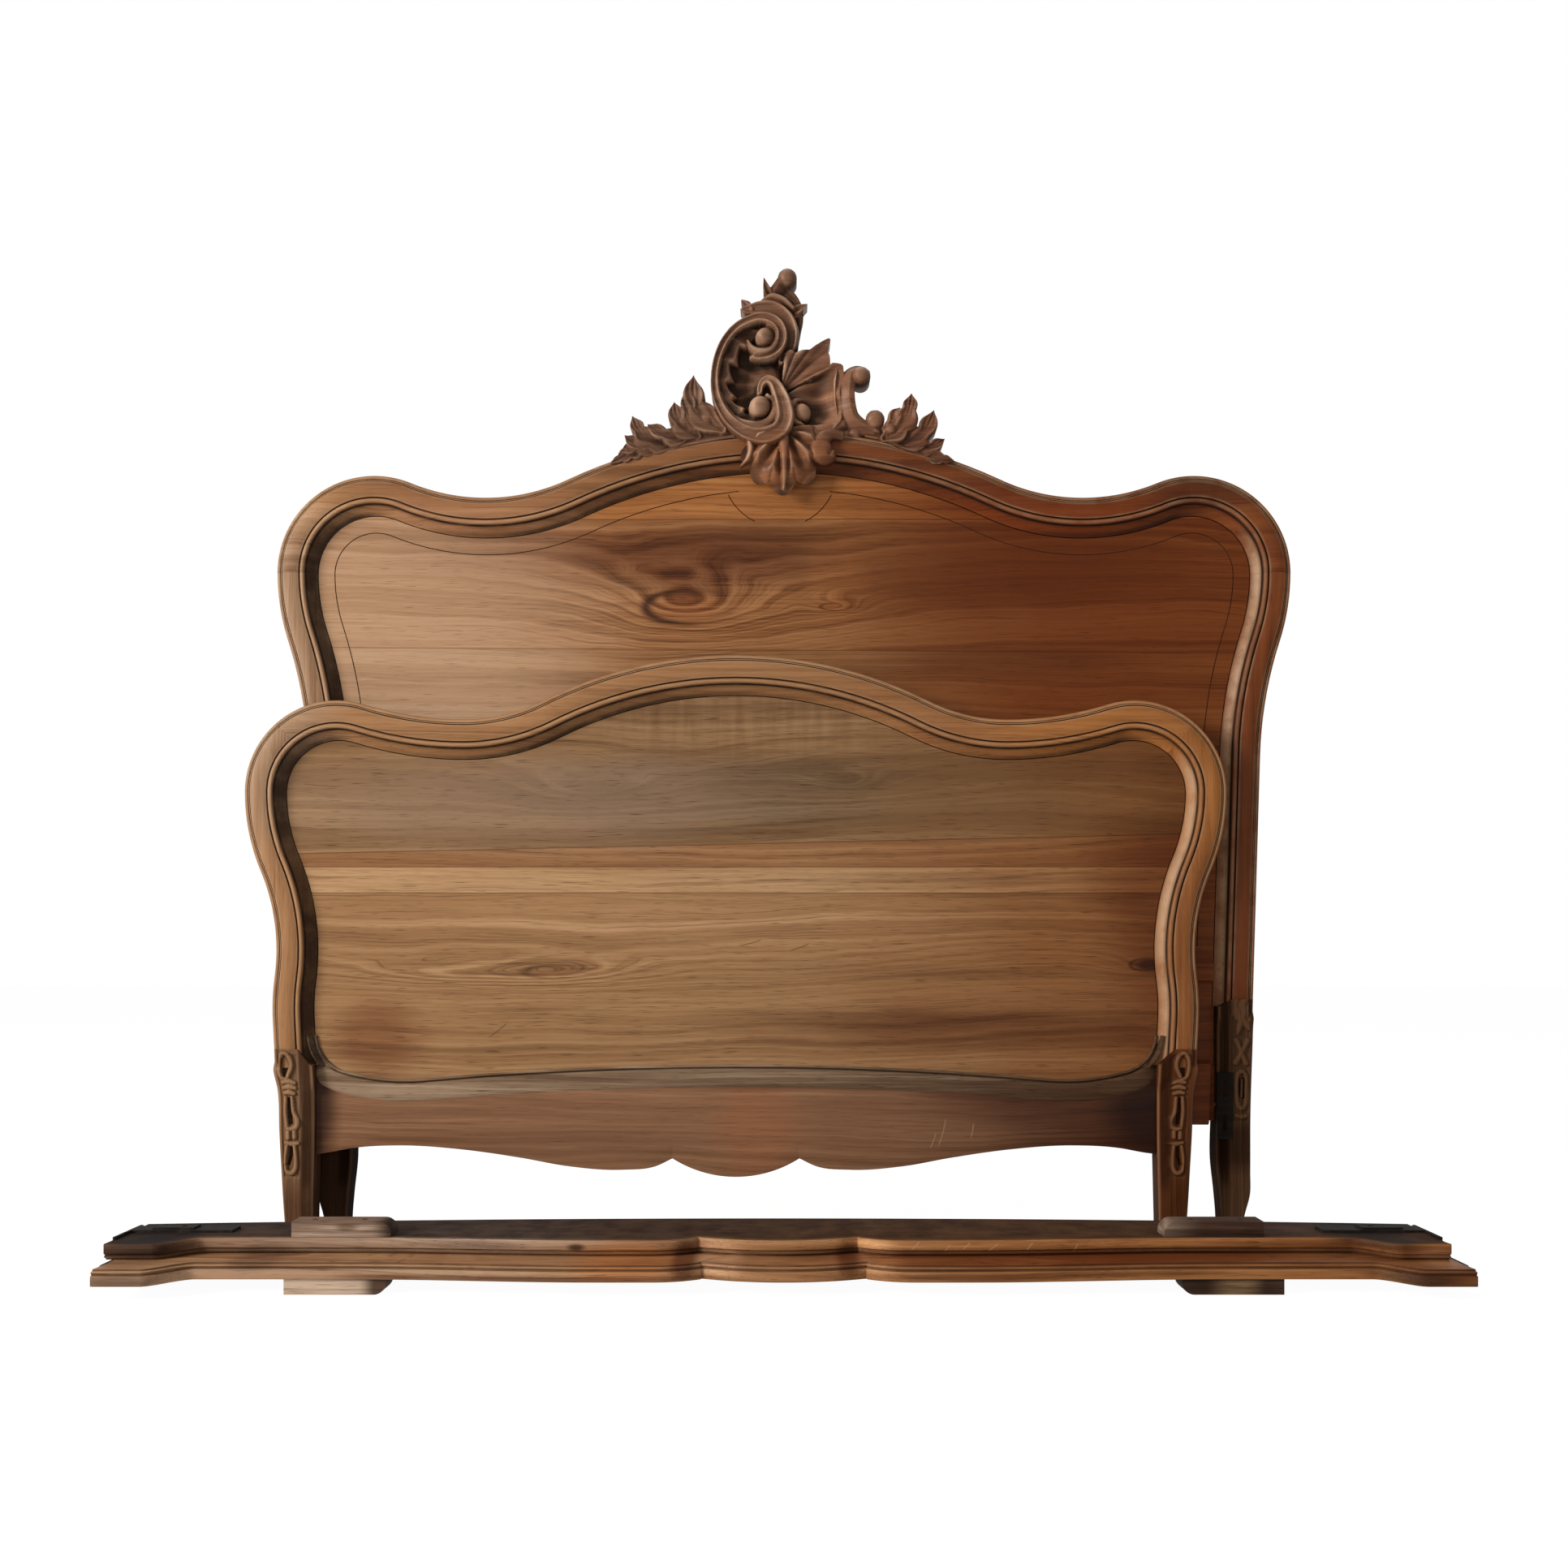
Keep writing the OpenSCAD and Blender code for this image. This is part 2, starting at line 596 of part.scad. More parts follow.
// A carved ribbon through its knots, from its section down to base.
module ribbon(knots, base, top, n = 3) {
  line = curve(knots, n);
  last = len(line) - 1;
  m = len(top) + 2;
  points = [
    for (i = [0:last])
      let (
        s = line[i],
        a = line[max(0, i - 1)],
        b = line[min(last, i + 1)],
        d = [b[0] - a[0], b[1] - a[1]],
        r = [d[1], -d[0]] / norm(d) * s[2] * lift,
        ring = concat([[-1, base]], [for (p = top) [p[0], (s[3] - s[2] * p[1]) * relief]], [[1, base]])
      )
      for (p = ring) [crest_x(s[0]) + r[0] * p[0], -p[1], up(s[1]) + r[1] * p[0]]
  ];
  sides = [
    for (i = [0:last - 1]) for (k = [0:m - 1])
      let (a = i * m + k, b = i * m + (k + 1) % m)
      each [[a + m, b + m, b], [a + m, b, a]]
  ];
  first = [for (k = [1:m - 2]) [0, k, k + 1]];
  end = [for (k = [1:m - 2]) [last * m, last * m + k + 1, last * m + k]];
  polyhedron(points, concat(sides, first, end));
}

// A pointed leaf with a sunk midrib, bowed to its left by bend times its length.
module leaf(root, tip, half, depth, bend = 0) {
  run = tip - root;
  side = [-run[1], run[0]] * bend;
  ribbon([
    for (k = [[0, 0.5, 0], [0.3, 1, 1], [0.65, 0.85, 3], [1, 0.12, 2]])
      let (p = root + run * k[0] + side * sin(180 * k[0]))
      [p[0], p[1], half * k[1], depth + k[2]]
  ], crest_back, leaf_top, 2);
}

module ball(x, z, r, depth) {
  translate([crest_x(x), -depth * relief, up(z)]) sphere(r = r * lift, $fn = 12);
}

// Flutes that spread from a centre. The outline is [angle, reach] pairs in rising angles. Its edge is
// scalloped, each flute is hollow, and the depth runs from rise[0] to rise[1].
module fan(centre, outline, flutes, r_in, base, rise, hollow) {
  across = flutes * 4;
  out = 4;
  from = outline[0][0];
  to = outline[len(outline) - 1][0];
  function ray(i) = from + (to - from) * i / across;
  function wave(i) = abs(sin(180 * flutes * i / across));
  function reach(i) = lookup(ray(i), outline) * (0.94 + 0.06 * wave(i));
  function depth(i, t) = (rise[0] + (rise[1] - rise[0]) * t * t - hollow * wave(i) * sin(t * 120)) * relief;
  function spot(i, t, d) = let (r = r_in + (reach(i) - r_in) * t)
    [crest_x(centre[0] + r * cos(ray(i))), -d, up(centre[1] + r * sin(ray(i)))];
  points = concat(
    [for (i = [0:across]) for (j = [0:out]) spot(i, j / out, depth(i, j / out))],
    [for (i = [0:across]) for (t = [0, 1]) spot(i, t, base)]
  );
  m = out + 1;
  lows = (across + 1) * m;
  last = across * m;
  last_low = lows + 2 * across;
  top = [for (i = [0:across - 1]) for (j = [0:out - 1]) let (a = i * m + j)
    each [[a, a + m + 1, a + 1], [a, a + m, a + m + 1]]];
  low = [for (i = [0:across - 1]) let (a = lows + 2 * i) each [[a, a + 3, a + 2], [a, a + 1, a + 3]]];
  rim = [for (i = [0:across - 1]) let (a = lows + 2 * i, b = i * m + out)
    each [[b, a + 3, a + 1], [b, b + m, a + 3]]];
  core = [for (i = [0:across - 1]) let (a = lows + 2 * i, b = i * m) each [[b, a, a + 2], [b, a + 2, b + m]]];
  one = concat([[0, lows + 1, lows]], [for (j = [1:out]) [lows + 1, j - 1, j]]);
  two = concat([[last, last_low, last_low + 1]], [for (j = [1:out]) [last_low + 1, last + j, last + j - 1]]);
  polyhedron(points, concat(top, low, rim, core, one, two));
}

// What the crest sits on: the frame's crown, up to its face.
module crest_seat() {
  reach = head_dip_x * 0.85;
  top = inset_line([for (s = both_sides(head_rail_line)) if (abs(s[0]) < reach) s], 0);
  slab(concat(top, [[reach, up(-140)], [-reach, up(-140)]]), -1, frame_t + 0.05);
  slab([[-reach, up(-60)], [reach, up(-60)], [reach, up(-200)], [-reach, up(-200)]], -1, panel_front + 0.05);
}

// What the cartouche takes up, and so what the pendant and the sprays are fitted round.
cartouche_edge = [
  [-108, 121], [-123, 84], [-121, 53], [-109.5, 20], [-88.5, -7], [-60, -25.5], [-27, -30], [3, -16.5],
  [26, -13], [52, -13], [80, -5], [98, 1], [119, -4.5], [142, -9], [152, -9], [152, 8], [132, 18.5],
  [119, 32], [116, 60], [120, 121]
];

module cartouche_space() {
  slab(crest_outline(cartouche_edge), -1, 80 * relief);
}

crest_dowel_x = [-62, 62];
crest_dowel_d = 10;
crest_dowel_len = 48;

module crest_dowel_set(room, extra) {
  for (x = crest_dowel_x)
    translate([crest_x(x), -crest_t / 2, cz - crest_dowel_len / 2 - extra])
      cylinder(d = crest_dowel_d + room, h = crest_dowel_len + 2 * extra, $fn = 32);
}

module crest_dowels() color(walnut_pale) place(head_place) crest_dowel_set(0, 0);

// The great C and its hook, drawn from under the upper eye round to the lower one.
big_scroll = [
  [-52, 121, 3, 42], [-36, 119, 6, 46], [-17, 124, 7.5, 50], [-4, 139, 8, 52], [-3, 159, 8, 54],
  [-15, 175, 8, 54], [-36, 181, 8, 54], [-58, 176, 8, 52], [-79, 163, 7.5, 52], [-97, 142, 7.5, 52],
  [-109, 115, 7.5, 52], [-114, 84, 7.5, 52], [-111, 53, 8, 52], [-99, 25, 9, 54], [-80, 3, 10.5, 56],
  [-55, -12, 12, 58], [-29, -15, 13, 60], [-8, -5, 13, 61], [1, 15, 12.5, 62], [-2, 37, 12, 62],
  [-12, 57, 10, 61]
];
hook = [
  [-2, 41, 10, 58], [-5, 65, 7.5, 57], [-16, 80, 5, 56], [-30, 80, 4.5, 54], [-39, 69, 4, 50],
  [-40, 57, 3, 46]
];
inner_ring = [
  [-104, 61, 3, 44], [-97, 37, 4.5, 47], [-82, 17, 6, 51], [-62, 6, 7, 55], [-40, 5, 7, 57],
  [-23, 13, 7, 58], [-17, 29, 6.5, 58], [-20, 45, 5, 55], [-30, 55, 3.5, 52]
];
crown_band = [
  [-69, 197, 1, 44], [-58, 195, 6, 47], [-38, 196, 11, 50], [-16, 193, 13, 51], [2, 179, 12, 51],
  [11, 158, 10, 48], [8, 135, 8, 43], [-4, 119, 4, 38]
];
crown_leaf = [
  [-6, 229, 12, 38], [6, 215, 16, 40], [17, 194, 15, 40], [19, 169, 9, 38], [18, 147, 6, 36],
  [16, 131, 7, 34]
];
finial = [[-28, 203, 12, 44], [-18, 217, 13, 46], [-8, 231, 13, 48], [4, 245, 14, 50], [7, 250, 12, 50]];
right_curl = [
  [136, 99, 6, 46], [122, 101, 7, 50], [108, 93, 9.5, 52], [101, 77, 12, 53], [100, 57, 13.5, 53],
  [103, 37, 13, 52], [111, 19, 12, 50], [125, 7, 10, 48], [146, 0, 7, 44]
];
low_lobe = [[2, 5, 10, 44], [26, -1, 10, 48], [52, -1, 10, 50], [76, 6, 9, 49], [96, 11, 7, 46]];
shell_outline = [
  [92, 96], [112, 104], [130, 104], [148, 100], [165, 98], [180, 96], [198, 88], [215, 78], [235, 66]
];
wing_outline = [
  [-50, 84], [-38, 100], [-28, 104], [-14, 97], [0, 95], [10, 100], [17, 104], [22, 97], [27, 88],
  [34, 96], [42, 104], [46.5, 109], [51, 90], [58, 72], [66, 64]
];
plate_outline = [[-20, -6], [98, -6], [94, 84], [24, 120], [18, 180], [-20, 200], [-40, 120]];
eye_stem_d = 30;

module cartouche_carving() {
  ribbon(big_scroll, crest_back, hollow_top);
  ribbon(hook, crest_back, round_top);
  ribbon(inner_ring, crest_back, round_top);
  ribbon(crown_band, crest_back, hollow_top);
  ribbon(crown_leaf, crest_back, leaf_top, 2);
  ribbon(finial, crest_back, round_top, 2);
  ribbon(right_curl, crest_back, round_top);
  ribbon(low_lobe, crest_back, round_top, 2);
  leaf([8, 191], [37, 205], 8, 40);
  leaf([-16, 212], [-33, 246], 7, 42);
  slab(crest_outline(plate_outline), 6, 34);
  ball(-30.5, 151, 16.5, 44);
  ball(-39, 34.5, 18, 49);
  bolt_y(crest_x(-39), up(34.5), eye_stem_d, 6, 50);
  ball(28, 27.5, 14, 46);
  ball(127.5, 87, 14.5, 43);
  ball(5.5, 249, 15.5, 40);
  fan([-14, 73], shell_outline, 8, 10, 6, [26, 44], 6);
  fan([-2, 69], wing_outline, 8, 12, crest_back, [28, 42], 6);
}

module crest_cartouche() color(walnut_dark) place(head_place) difference() {
  cartouche_carving();
  crest_seat();
  crest_dowel_set(fit, 1);
}

pendant_outline = [
  [-190, 56], [-172, 60], [-158, 70], [-146, 84], [-135, 93], [-120, 99], [-105, 103], [-91, 106],
  [-76, 102], [-62, 98], [-48, 92], [-36, 88], [-22, 78], [-8, 66], [8, 60]
];
right_boss = [[54, -8, 6, 54], [46, -24, 8, 58], [50, -48, 10, 60], [66, -62, 9, 58], [82, -52, 7, 54]];
left_roll = [[-64, -10, 7, 54], [-58, -30, 8, 57], [-62, -52, 8, 56], [-76, -66, 7, 52]];

module crest_pendant() color(walnut_dark) place(head_place) difference() {
  union() {
    fan([0, -3], pendant_outline, 9, 10, panel_front, [60, 46], 5);
    ribbon(right_boss, panel_front, round_top);
    ribbon(left_roll, panel_front, round_top);
    ball(66, -38, 13, 48);
  }
  crest_seat();
  cartouche_space();
}

left_branch = [
  [-104, 14, 10, 40], [-126, 12, 11, 40], [-160, 4, 11, 40], [-210, -14, 10, 39], [-268, -40, 8, 38]
];
right_branch = [[146, 4, 9, 40], [180, 0, 11, 40], [215, -14, 10, 39], [262, -40, 8, 38]];

module crest_left_spray() color(walnut_dark) place(head_place) difference() {
  union() {
    ribbon(left_branch, crest_back, round_top);
    leaf([-104, 7], [-149, 84], 17, 40, 0.14);
    leaf([-128, 5], [-158, 61], 12, 39, 0.1);
    leaf([-146, -3], [-179, 42], 15, 39, 0.12);
    leaf([-160, -9], [-222, 5], 11, 38, 0.1);
    leaf([-188, -19], [-249, 20], 14, 38, 0.16);
    leaf([-204, -25], [-262, -11], 12, 37, 0.1);
    leaf([-216, -31], [-282, -50], 13, 36, -0.08);
    ball(-161, 17, 15, 30);
    ball(-126, 21, 12, 33);
  }
  crest_seat();
  cartouche_space();
}

module crest_right_spray() color(walnut_dark) place(head_place) difference() {
  union() {
    ribbon(right_branch, crest_back, round_top);
    leaf([168, -9], [208, 55], 15, 40, -0.12);
    leaf([176, -13], [192, 37], 12, 39, 0.1);
    leaf([188, -17], [245, 29], 15, 38, -0.14);
    leaf([214, -29], [262, -13], 10, 37, -0.12);
    leaf([204, -25], [280, -48], 13, 36, 0.06);
    ball(150, 18, 15, 33);
  }
  crest_seat();
  cartouche_space();
}

// The footboard.
// The band under the panel falls a little from the middle and rises again at the posts.
band_half = edge_x(foot_last, frame_w, foot_band_z);
band_sum = sum_of_radii(band_half * 0.79, foot_band_fall);
band_turn = swing(band_sum, foot_band_fall);
band_rise_r = 357;
band_rise_turn = 16;
band_corner_r = band_half * 0.103;
band_line = stations(
  [0, foot_band_z, 0],
  [[band_sum - band_rise_r, band_turn], [band_rise_r, -band_turn - band_rise_turn], [band_corner_r, -50]], 5);
band_line_full = both_sides(band_line);

// All that lies lower than a line inset from the band's upper edge.
module under_band(inset) {
  line = inset_line(band_line_full, inset);
  ends = [[foot_w, line[len(line) - 1][1]], [foot_w, 0], [-foot_w, 0], [-foot_w, line[0][1]]];
  slab(concat(line, ends), -1, frame_t);
}

module footboard_groove() difference() {
  slab(field(foot_rail_line, foot_post_line, groove_d, foot_field_z), panel_back - fit, panel_front + fit);
  under_band(groove_d);
}

module footboard_panel() color(walnut_pale) place(foot_place) difference() {
  slab(field(foot_rail_line, foot_post_line, tongue, foot_field_z), panel_back, panel_front);
  under_band(tongue);
}

band_section = concat(
  [[0, 0], [0, cove_foot], [5, cove_foot + 3]],
  bow(foot_band_h / 2 + 2, cove_foot + 3, foot_band_h / 2 - 3, 150, 30, 4),
  [[foot_band_h - 1, cove_foot + 3], [foot_band_h, cove_foot], [foot_band_h, 0]]
);

// Space between the posts, where the band and the apron end.
function between_posts(z0, z1, out) = [
  [-edge_x(foot_last, frame_w, z0) - out, z0], [edge_x(foot_last, frame_w, z0) + out, z0],
  [edge_x(foot_last, frame_w, z1) + out, z1], [-edge_x(foot_last, frame_w, z1) - out, z1]
];
band_tenon_z = foot_band_z - foot_band_fall;
apron_tenon_z = 180;
foot_tenon_h = 22;

module foot_tenon(z, room) {
  for (side = [0, 1]) mirror([side, 0, 0])
    let (x = edge_x(foot_last, frame_w, z))
      translate([x - 3, -tenon_back - tenon_t - room, z - room])
        cube([3 + tenon_len + room, tenon_t + 2 * room, foot_tenon_h + 2 * room]);
}

module footboard_band() color(walnut_dark) place(foot_place) difference() {
  union() {
    intersection() {
      swept(band_line_full, band_section);
      slab(between_posts(foot_band_z - 90, foot_band_z + 60, 0), -1, frame_t + 10);
    }
    foot_tenon(band_tenon_z, 0);
  }
  footboard_groove();
  peg_bores(foot_peg_spots, fit);
}

// The apron, with its scalloped lower edge: half outline from the middle to the post.
apron_seat_z = 168;
apron_back = 6;
apron_front = 30;
function apron_half() = let (edge = edge_x(foot_last, frame_w, apron_seat_z))
  concat(
    bow(0, apron_z + 180, 180, 270, 304, 5),
    [[edge * 0.158, apron_z + 27]],
    bow(edge * 0.275, apron_z + 12 + 120, 120, 244, 290, 5),
    [[edge * 0.42, apron_z + 21], [edge * 0.52, apron_z + 31]],
    bow(edge * 0.8, apron_z + 52 - 330, 330, 108, 84, 5),
    [[edge * 0.96, apron_z + 38], [edge, apron_z + 36]]
  );
function apron_outline() = let (half = apron_half(), edge = half[len(half) - 1][0],
    top = inset_line(band_line_full, foot_band_h))
  concat([for (i = [len(half) - 1:-1:1]) [-half[i][0], half[i][1]]], half,
    [for (i = [len(top) - 1:-1:0]) if (abs(top[i][0]) < edge) top[i]]);

module footboard_apron() color(walnut) place(foot_place) difference() {
  union() {
    intersection() {
      slab(apron_outline(), apron_back, apron_front);
      slab(between_posts(60, foot_band_z, 0), -1, frame_t + 10);
    }
    foot_tenon(apron_tenon_z, 0);
  }
  peg_bores(foot_peg_spots, fit);
}

function foot_peg(z) = [edge_x(foot_last, frame_w - tenon_len / 2, z), z];
foot_peg_spots = [foot_peg(band_tenon_z + foot_tenon_h / 2), foot_peg(apron_tenon_z + foot_tenon_h / 2)];

module footboard_pegs() color(walnut_dark) place(foot_place)
  for (p = foot_peg_spots) for (side = [-1, 1]) bolt_y(side * p[0], p[1], peg_d, 0, peg_len);

module footboard_dowels() color(walnut_pale) place(foot_place)
  for (side = [0, 1]) mirror([side, 0, 0]) joint_dowels(foot_joint, 0, 0);

module footboard_post() difference() {
  union() {
    swept(foot_post_line, frame_section);
    slab(leg_outline(foot_last, foot_leg_z, foot_foot_w, 3), 0, leg_t);
  }
  footboard_groove();
  foot_tenon(band_tenon_z, fit);
  foot_tenon(apron_tenon_z, fit);
  peg_bores(foot_peg_spots, fit);
  joint_dowels(foot_joint, fit, 1);
  on_foot_leg(1) keeper_seat();
}

module footboard_right_post() color(walnut) place(foot_place) footboard_post();

module footboard_left_post() color(walnut) place(foot_place) mirror([1, 0, 0]) footboard_post();

module footboard_top_rail() color(walnut) place(foot_place) difference() {
  swept(both_sides(foot_rail_line), frame_section);
  footboard_groove();
  joint_dowels(foot_joint, fit, 1);
  mirror([1, 0, 0]) joint_dowels(foot_joint, fit, 1);
}

// A side rail lies along X in its own frame: inner face at Y 0, outer face towards -Y,
// plain lower edge at Z 0. Its outline may be drawn with the lower edge sunk by inset.
rail_half = rail_len / 2;
rail_cusp_r = 120;
rail_end_ease = 60;
function rail_lower(inset) = let (
    lobe_r = (rail_lobe_half * rail_lobe_half + rail_cusp_h * rail_cusp_h) / (2 * rail_cusp_h),
    plain_x = block_x + 60)
  concat(
    bow(0, lobe_r - rail_lobe_drop + inset, lobe_r, 270, 270 + asin(rail_lobe_half / lobe_r), 6),
    bow(rail_lobe_half + 68, rail_cusp_r - rail_lobe_drop + inset, rail_cusp_r, 236, 270, 4),
    [for (i = [1:8]) [
      rail_ease_x + (plain_x - rail_ease_x) * i / 8,
      -rail_lobe_drop * (1 + cos(22.5 * i)) / 2 + inset
    ]],
    [for (i = [0:6]) [rail_half - rail_end_len - rail_end_ease * (4 - i) / 6,
      -rail_end_drop * (1 - cos(30 * i)) / 2 + inset]],
    [[rail_half, -rail_end_drop + inset]]
  );
function rail_outline_points(inset) = let (half = rail_lower(inset))
  concat([for (i = [len(half) - 1:-1:1]) [-half[i][0], half[i][1]]], half,
    [for (i = [8:-1:-8]) [rail_half * i / 8, rail_h + rail_crown * (1 - i * i / 64)]]);

strap_z = rail_h * 0.5;
hook_z = rail_h / 2 - rail_end_drop / 2;
plate_h = 92;

module rail_board() difference() {
  union() {
    slab(rail_outline_points(0), 0, rail_t - rail_bead_t);
    slab(rail_outline_points(4), rail_t - rail_bead_t - 1, rail_t);
  }
  for (side = [0, 1]) mirror([side, 0, 0]) {
    translate([rail_half - iron_t, -rail_t - 1, hook_z - plate_h / 2 - fit])
      cube([iron_t + 1, rail_t + 2, plate_h + 2 * fit]);
    for (x = strap_screw_x) translate([x, 0, strap_z]) rotate([90, 0, 0])
      cylinder(d = screw_d + fit, h = screw_len - iron_t + fit, $fn = 32);
    for (x = block_screw_x) translate([x, 0, block_z + block_h / 2]) rotate([90, 0, 0])
      cylinder(d = screw_d + fit, h = block_screw_len - block_t + fit, $fn = 32);
  }
}

strap_screw_x = [rail_half - 30, rail_half - 75, rail_half - 120];
block_z = 4;
block_screw_x = [block_x + block_len * 0.3, block_x + block_len * 0.8];
block_screw_len = block_t + 12;

hook_outline = [
  [0, hook_h / 2], [hook_reach + 1, hook_h / 2 - 3], [hook_reach + 1, -hook_h / 2],
  [hook_reach - 3, -hook_h / 2], [hook_reach - 3, -2], [0, -2]
];

// Hook plate: a strap on the inner face, a plate across the end grain and two hooks.
module hook_plate() difference() {
  union() {
    translate([rail_half - strap_len, 0, strap_z - strap_h / 2]) cube([strap_len, iron_t, strap_h]);
    translate([rail_half - strap_len * 0.62, iron_t - 1, strap_z - strap_h / 2 + 4])
      cube([strap_len * 0.4, 4, strap_h - 8]);
    translate([rail_half - iron_t, -rail_t, hook_z - plate_h / 2]) cube([iron_t, rail_t + iron_t, plate_h]);
    for (z = hook_spots) translate([rail_half - 1, -rail_t / 2, hook_z + z]) rotate([90, 0, 0])
      linear_extrude(hook_t, center = true)
        polygon(hook_outline);
  }
  for (x = strap_screw_x) on_strap(x) screw_hole(screw_len);
}

// Puts a screw on the strap's face or the block's, driven into the rail.
module on_strap(x) {
  translate([x, iron_t, strap_z]) rotate([0, 0, 180]) children();
}

module on_block(x) {
  translate([x, block_t, block_z + block_h / 2]) rotate([0, 0, 180]) children();
}

module rail_block() difference() {
  round_r = block_t * 0.8;
  translate([block_x, 0, block_z]) cube([block_len, block_t, block_h]);
  translate([block_x - 1, block_t + 1, block_z - 1]) rotate([0, 0, -90]) difference() {
    cube([round_r + 1, round_r + 1, block_h + 2]);
    translate([round_r + 1, round_r + 1, -1]) cylinder(r = round_r, h = block_h + 4, $fn = 48);
  }
  for (x = block_screw_x) on_block(x) screw_hole(block_t + 1);
}

module rail_screws() {
  for (side = [0, 1]) mirror([side, 0, 0]) {
    for (x = strap_screw_x) on_strap(x) screw(screw_len);
    for (x = block_screw_x) on_block(x) screw(block_screw_len);
  }
}

// The lower rail lies on its blocks with its outer face up, the upper one on that face.
module lay_lower() {
  translate(lower_place) rotate([-90, 0, 0]) children();
}

module lay_upper() {
  translate(upper_place) rotate([0, 180, 0]) rotate([-90, 0, 0]) children();
}

module lower_rail_board() color(walnut) lay_lower() rail_board();
module lower_rail_head_hooks() color(iron) lay_lower() hook_plate();
module lower_rail_foot_hooks() color(iron) lay_lower() mirror([1, 0, 0]) hook_plate();
module lower_rail_head_block() color(walnut_pale) lay_lower() rail_block();
module lower_rail_foot_block() color(walnut_pale) lay_lower() mirror([1, 0, 0]) rail_block();
module lower_rail_screws() color(iron) lay_lower() rail_screws();
module upper_rail_board() color(walnut) lay_upper() rail_board();
module upper_rail_head_hooks() color(iron) lay_upper() hook_plate();
module upper_rail_foot_hooks() color(iron) lay_upper() mirror([1, 0, 0]) hook_plate();
module upper_rail_head_block() color(walnut_pale) lay_upper() rail_block();
module upper_rail_foot_block() color(walnut_pale) lay_upper() mirror([1, 0, 0]) rail_block();
module upper_rail_screws() color(iron) lay_upper() rail_screws();

headboard_left_post();
headboard_right_post();
headboard_top_rail();
headboard_panel();
headboard_middle_rail();
headboard_lower_panel();
headboard_bottom_rail();
headboard_pegs();
headboard_dowels();
headboard_keepers();
headboard_keeper_screws();
crest_cartouche();
crest_pendant();
crest_left_spray();
crest_right_spray();
crest_dowels();
footboard_left_post();
footboard_right_post();
footboard_top_rail();
footboard_panel();
footboard_band();
footboard_apron();
footboard_pegs();
footboard_dowels();
footboard_keepers();
footboard_keeper_screws();
upper_rail_board();
upper_rail_head_hooks();
upper_rail_foot_hooks();
upper_rail_head_block();
upper_rail_foot_block();
upper_rail_screws();
lower_rail_board();
lower_rail_head_hooks();
lower_rail_foot_hooks();
lower_rail_head_block();
lower_rail_foot_block();
lower_rail_screws();
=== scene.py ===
"""Looks of a carved walnut double bed that is knocked down: the headboard and the footboard stand
one behind the other, and the two side rails lie in a pile before them.

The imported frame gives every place. A board is drawn in its own frame, in millimetres: x from its
middle to the right, z up from the floor, and height forward from its flat back.
"""

import math

import bpy
import numpy as np
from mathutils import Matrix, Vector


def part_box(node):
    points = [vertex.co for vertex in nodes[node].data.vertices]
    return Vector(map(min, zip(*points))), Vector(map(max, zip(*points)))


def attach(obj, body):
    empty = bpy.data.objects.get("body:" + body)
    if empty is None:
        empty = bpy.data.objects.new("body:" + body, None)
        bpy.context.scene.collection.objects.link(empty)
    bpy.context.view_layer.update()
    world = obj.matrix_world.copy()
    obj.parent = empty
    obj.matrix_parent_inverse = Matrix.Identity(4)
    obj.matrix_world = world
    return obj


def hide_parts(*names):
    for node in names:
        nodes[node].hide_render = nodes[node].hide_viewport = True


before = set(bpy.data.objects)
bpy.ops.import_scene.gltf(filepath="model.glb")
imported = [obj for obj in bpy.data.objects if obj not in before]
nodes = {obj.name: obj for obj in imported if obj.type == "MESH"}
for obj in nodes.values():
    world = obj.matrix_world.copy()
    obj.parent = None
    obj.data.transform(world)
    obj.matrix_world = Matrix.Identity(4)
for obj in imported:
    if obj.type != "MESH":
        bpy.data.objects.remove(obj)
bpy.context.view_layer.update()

MM = 0.001
BODY = "root"


class Place:
    """Where a part lies. The columns of its grid, in millimetres, run along axes of the row frame."""

    def __init__(self, origin, axes, signs):
        self.origin = np.array(origin)[axes]
        self.axes = axes
        self.scale = MM * np.array(signs)

    def out(self, grid):
        """Points of a grid to the row frame in metres."""
        world = np.empty(grid.shape)
        world[..., self.axes] = self.origin + grid * self.scale
        return world


def board_place(name):
    """A board's grid is (x, z, height), with x from the panel's middle and height from the flat back."""
    low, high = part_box(f"{name}_panel")
    return Place(((low.x + high.x) / 2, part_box(f"{name}_top_rail")[1].y, 0), [0, 2, 1], (1, 1, -1))


HEAD = board_place("headboard")
FOOT = board_place("footboard")

FRAME_W = 66
FRAME_T = 42
PANEL_FRONT = 22
HEAD_LEG_Z = 395
FOOT_LEG_Z = 316

# Lines and surfaces


def right_of(heading):
    """Unit vector to the right of a heading in degrees."""
    angle = np.radians(heading)
    return np.stack([np.sin(angle), -np.cos(angle)], -1)


def run_line(start, runs, turn_step=2.0, length_step=25.0):
    """Stations (x, z, heading) along arcs (radius, turn) and straight stretches (length, 0).

    A positive turn is clockwise. On an arc, p = centre - side * radius * right(heading).
    """
    parts = [np.array([start], float)]
    for size, turn in runs:
        x, z, heading = parts[-1][-1]
        here = np.array([x, z])
        if turn == 0:
            count = max(1, math.ceil(size / length_step))
            t = np.arange(1, count + 1) / count
            ahead = np.array([math.cos(math.radians(heading)), math.sin(math.radians(heading))])
            points = here + t[:, None] * size * ahead
            headings = np.full(count, heading)
        else:
            count = max(2, math.ceil(abs(turn) / turn_step))
            headings = heading - np.arange(1, count + 1) / count * turn
            side = math.copysign(1, turn)
            centre = here + side * size * right_of(heading)
            points = centre - side * size * right_of(headings)
        parts.append(np.column_stack([points, headings]))
    return np.concatenate(parts)


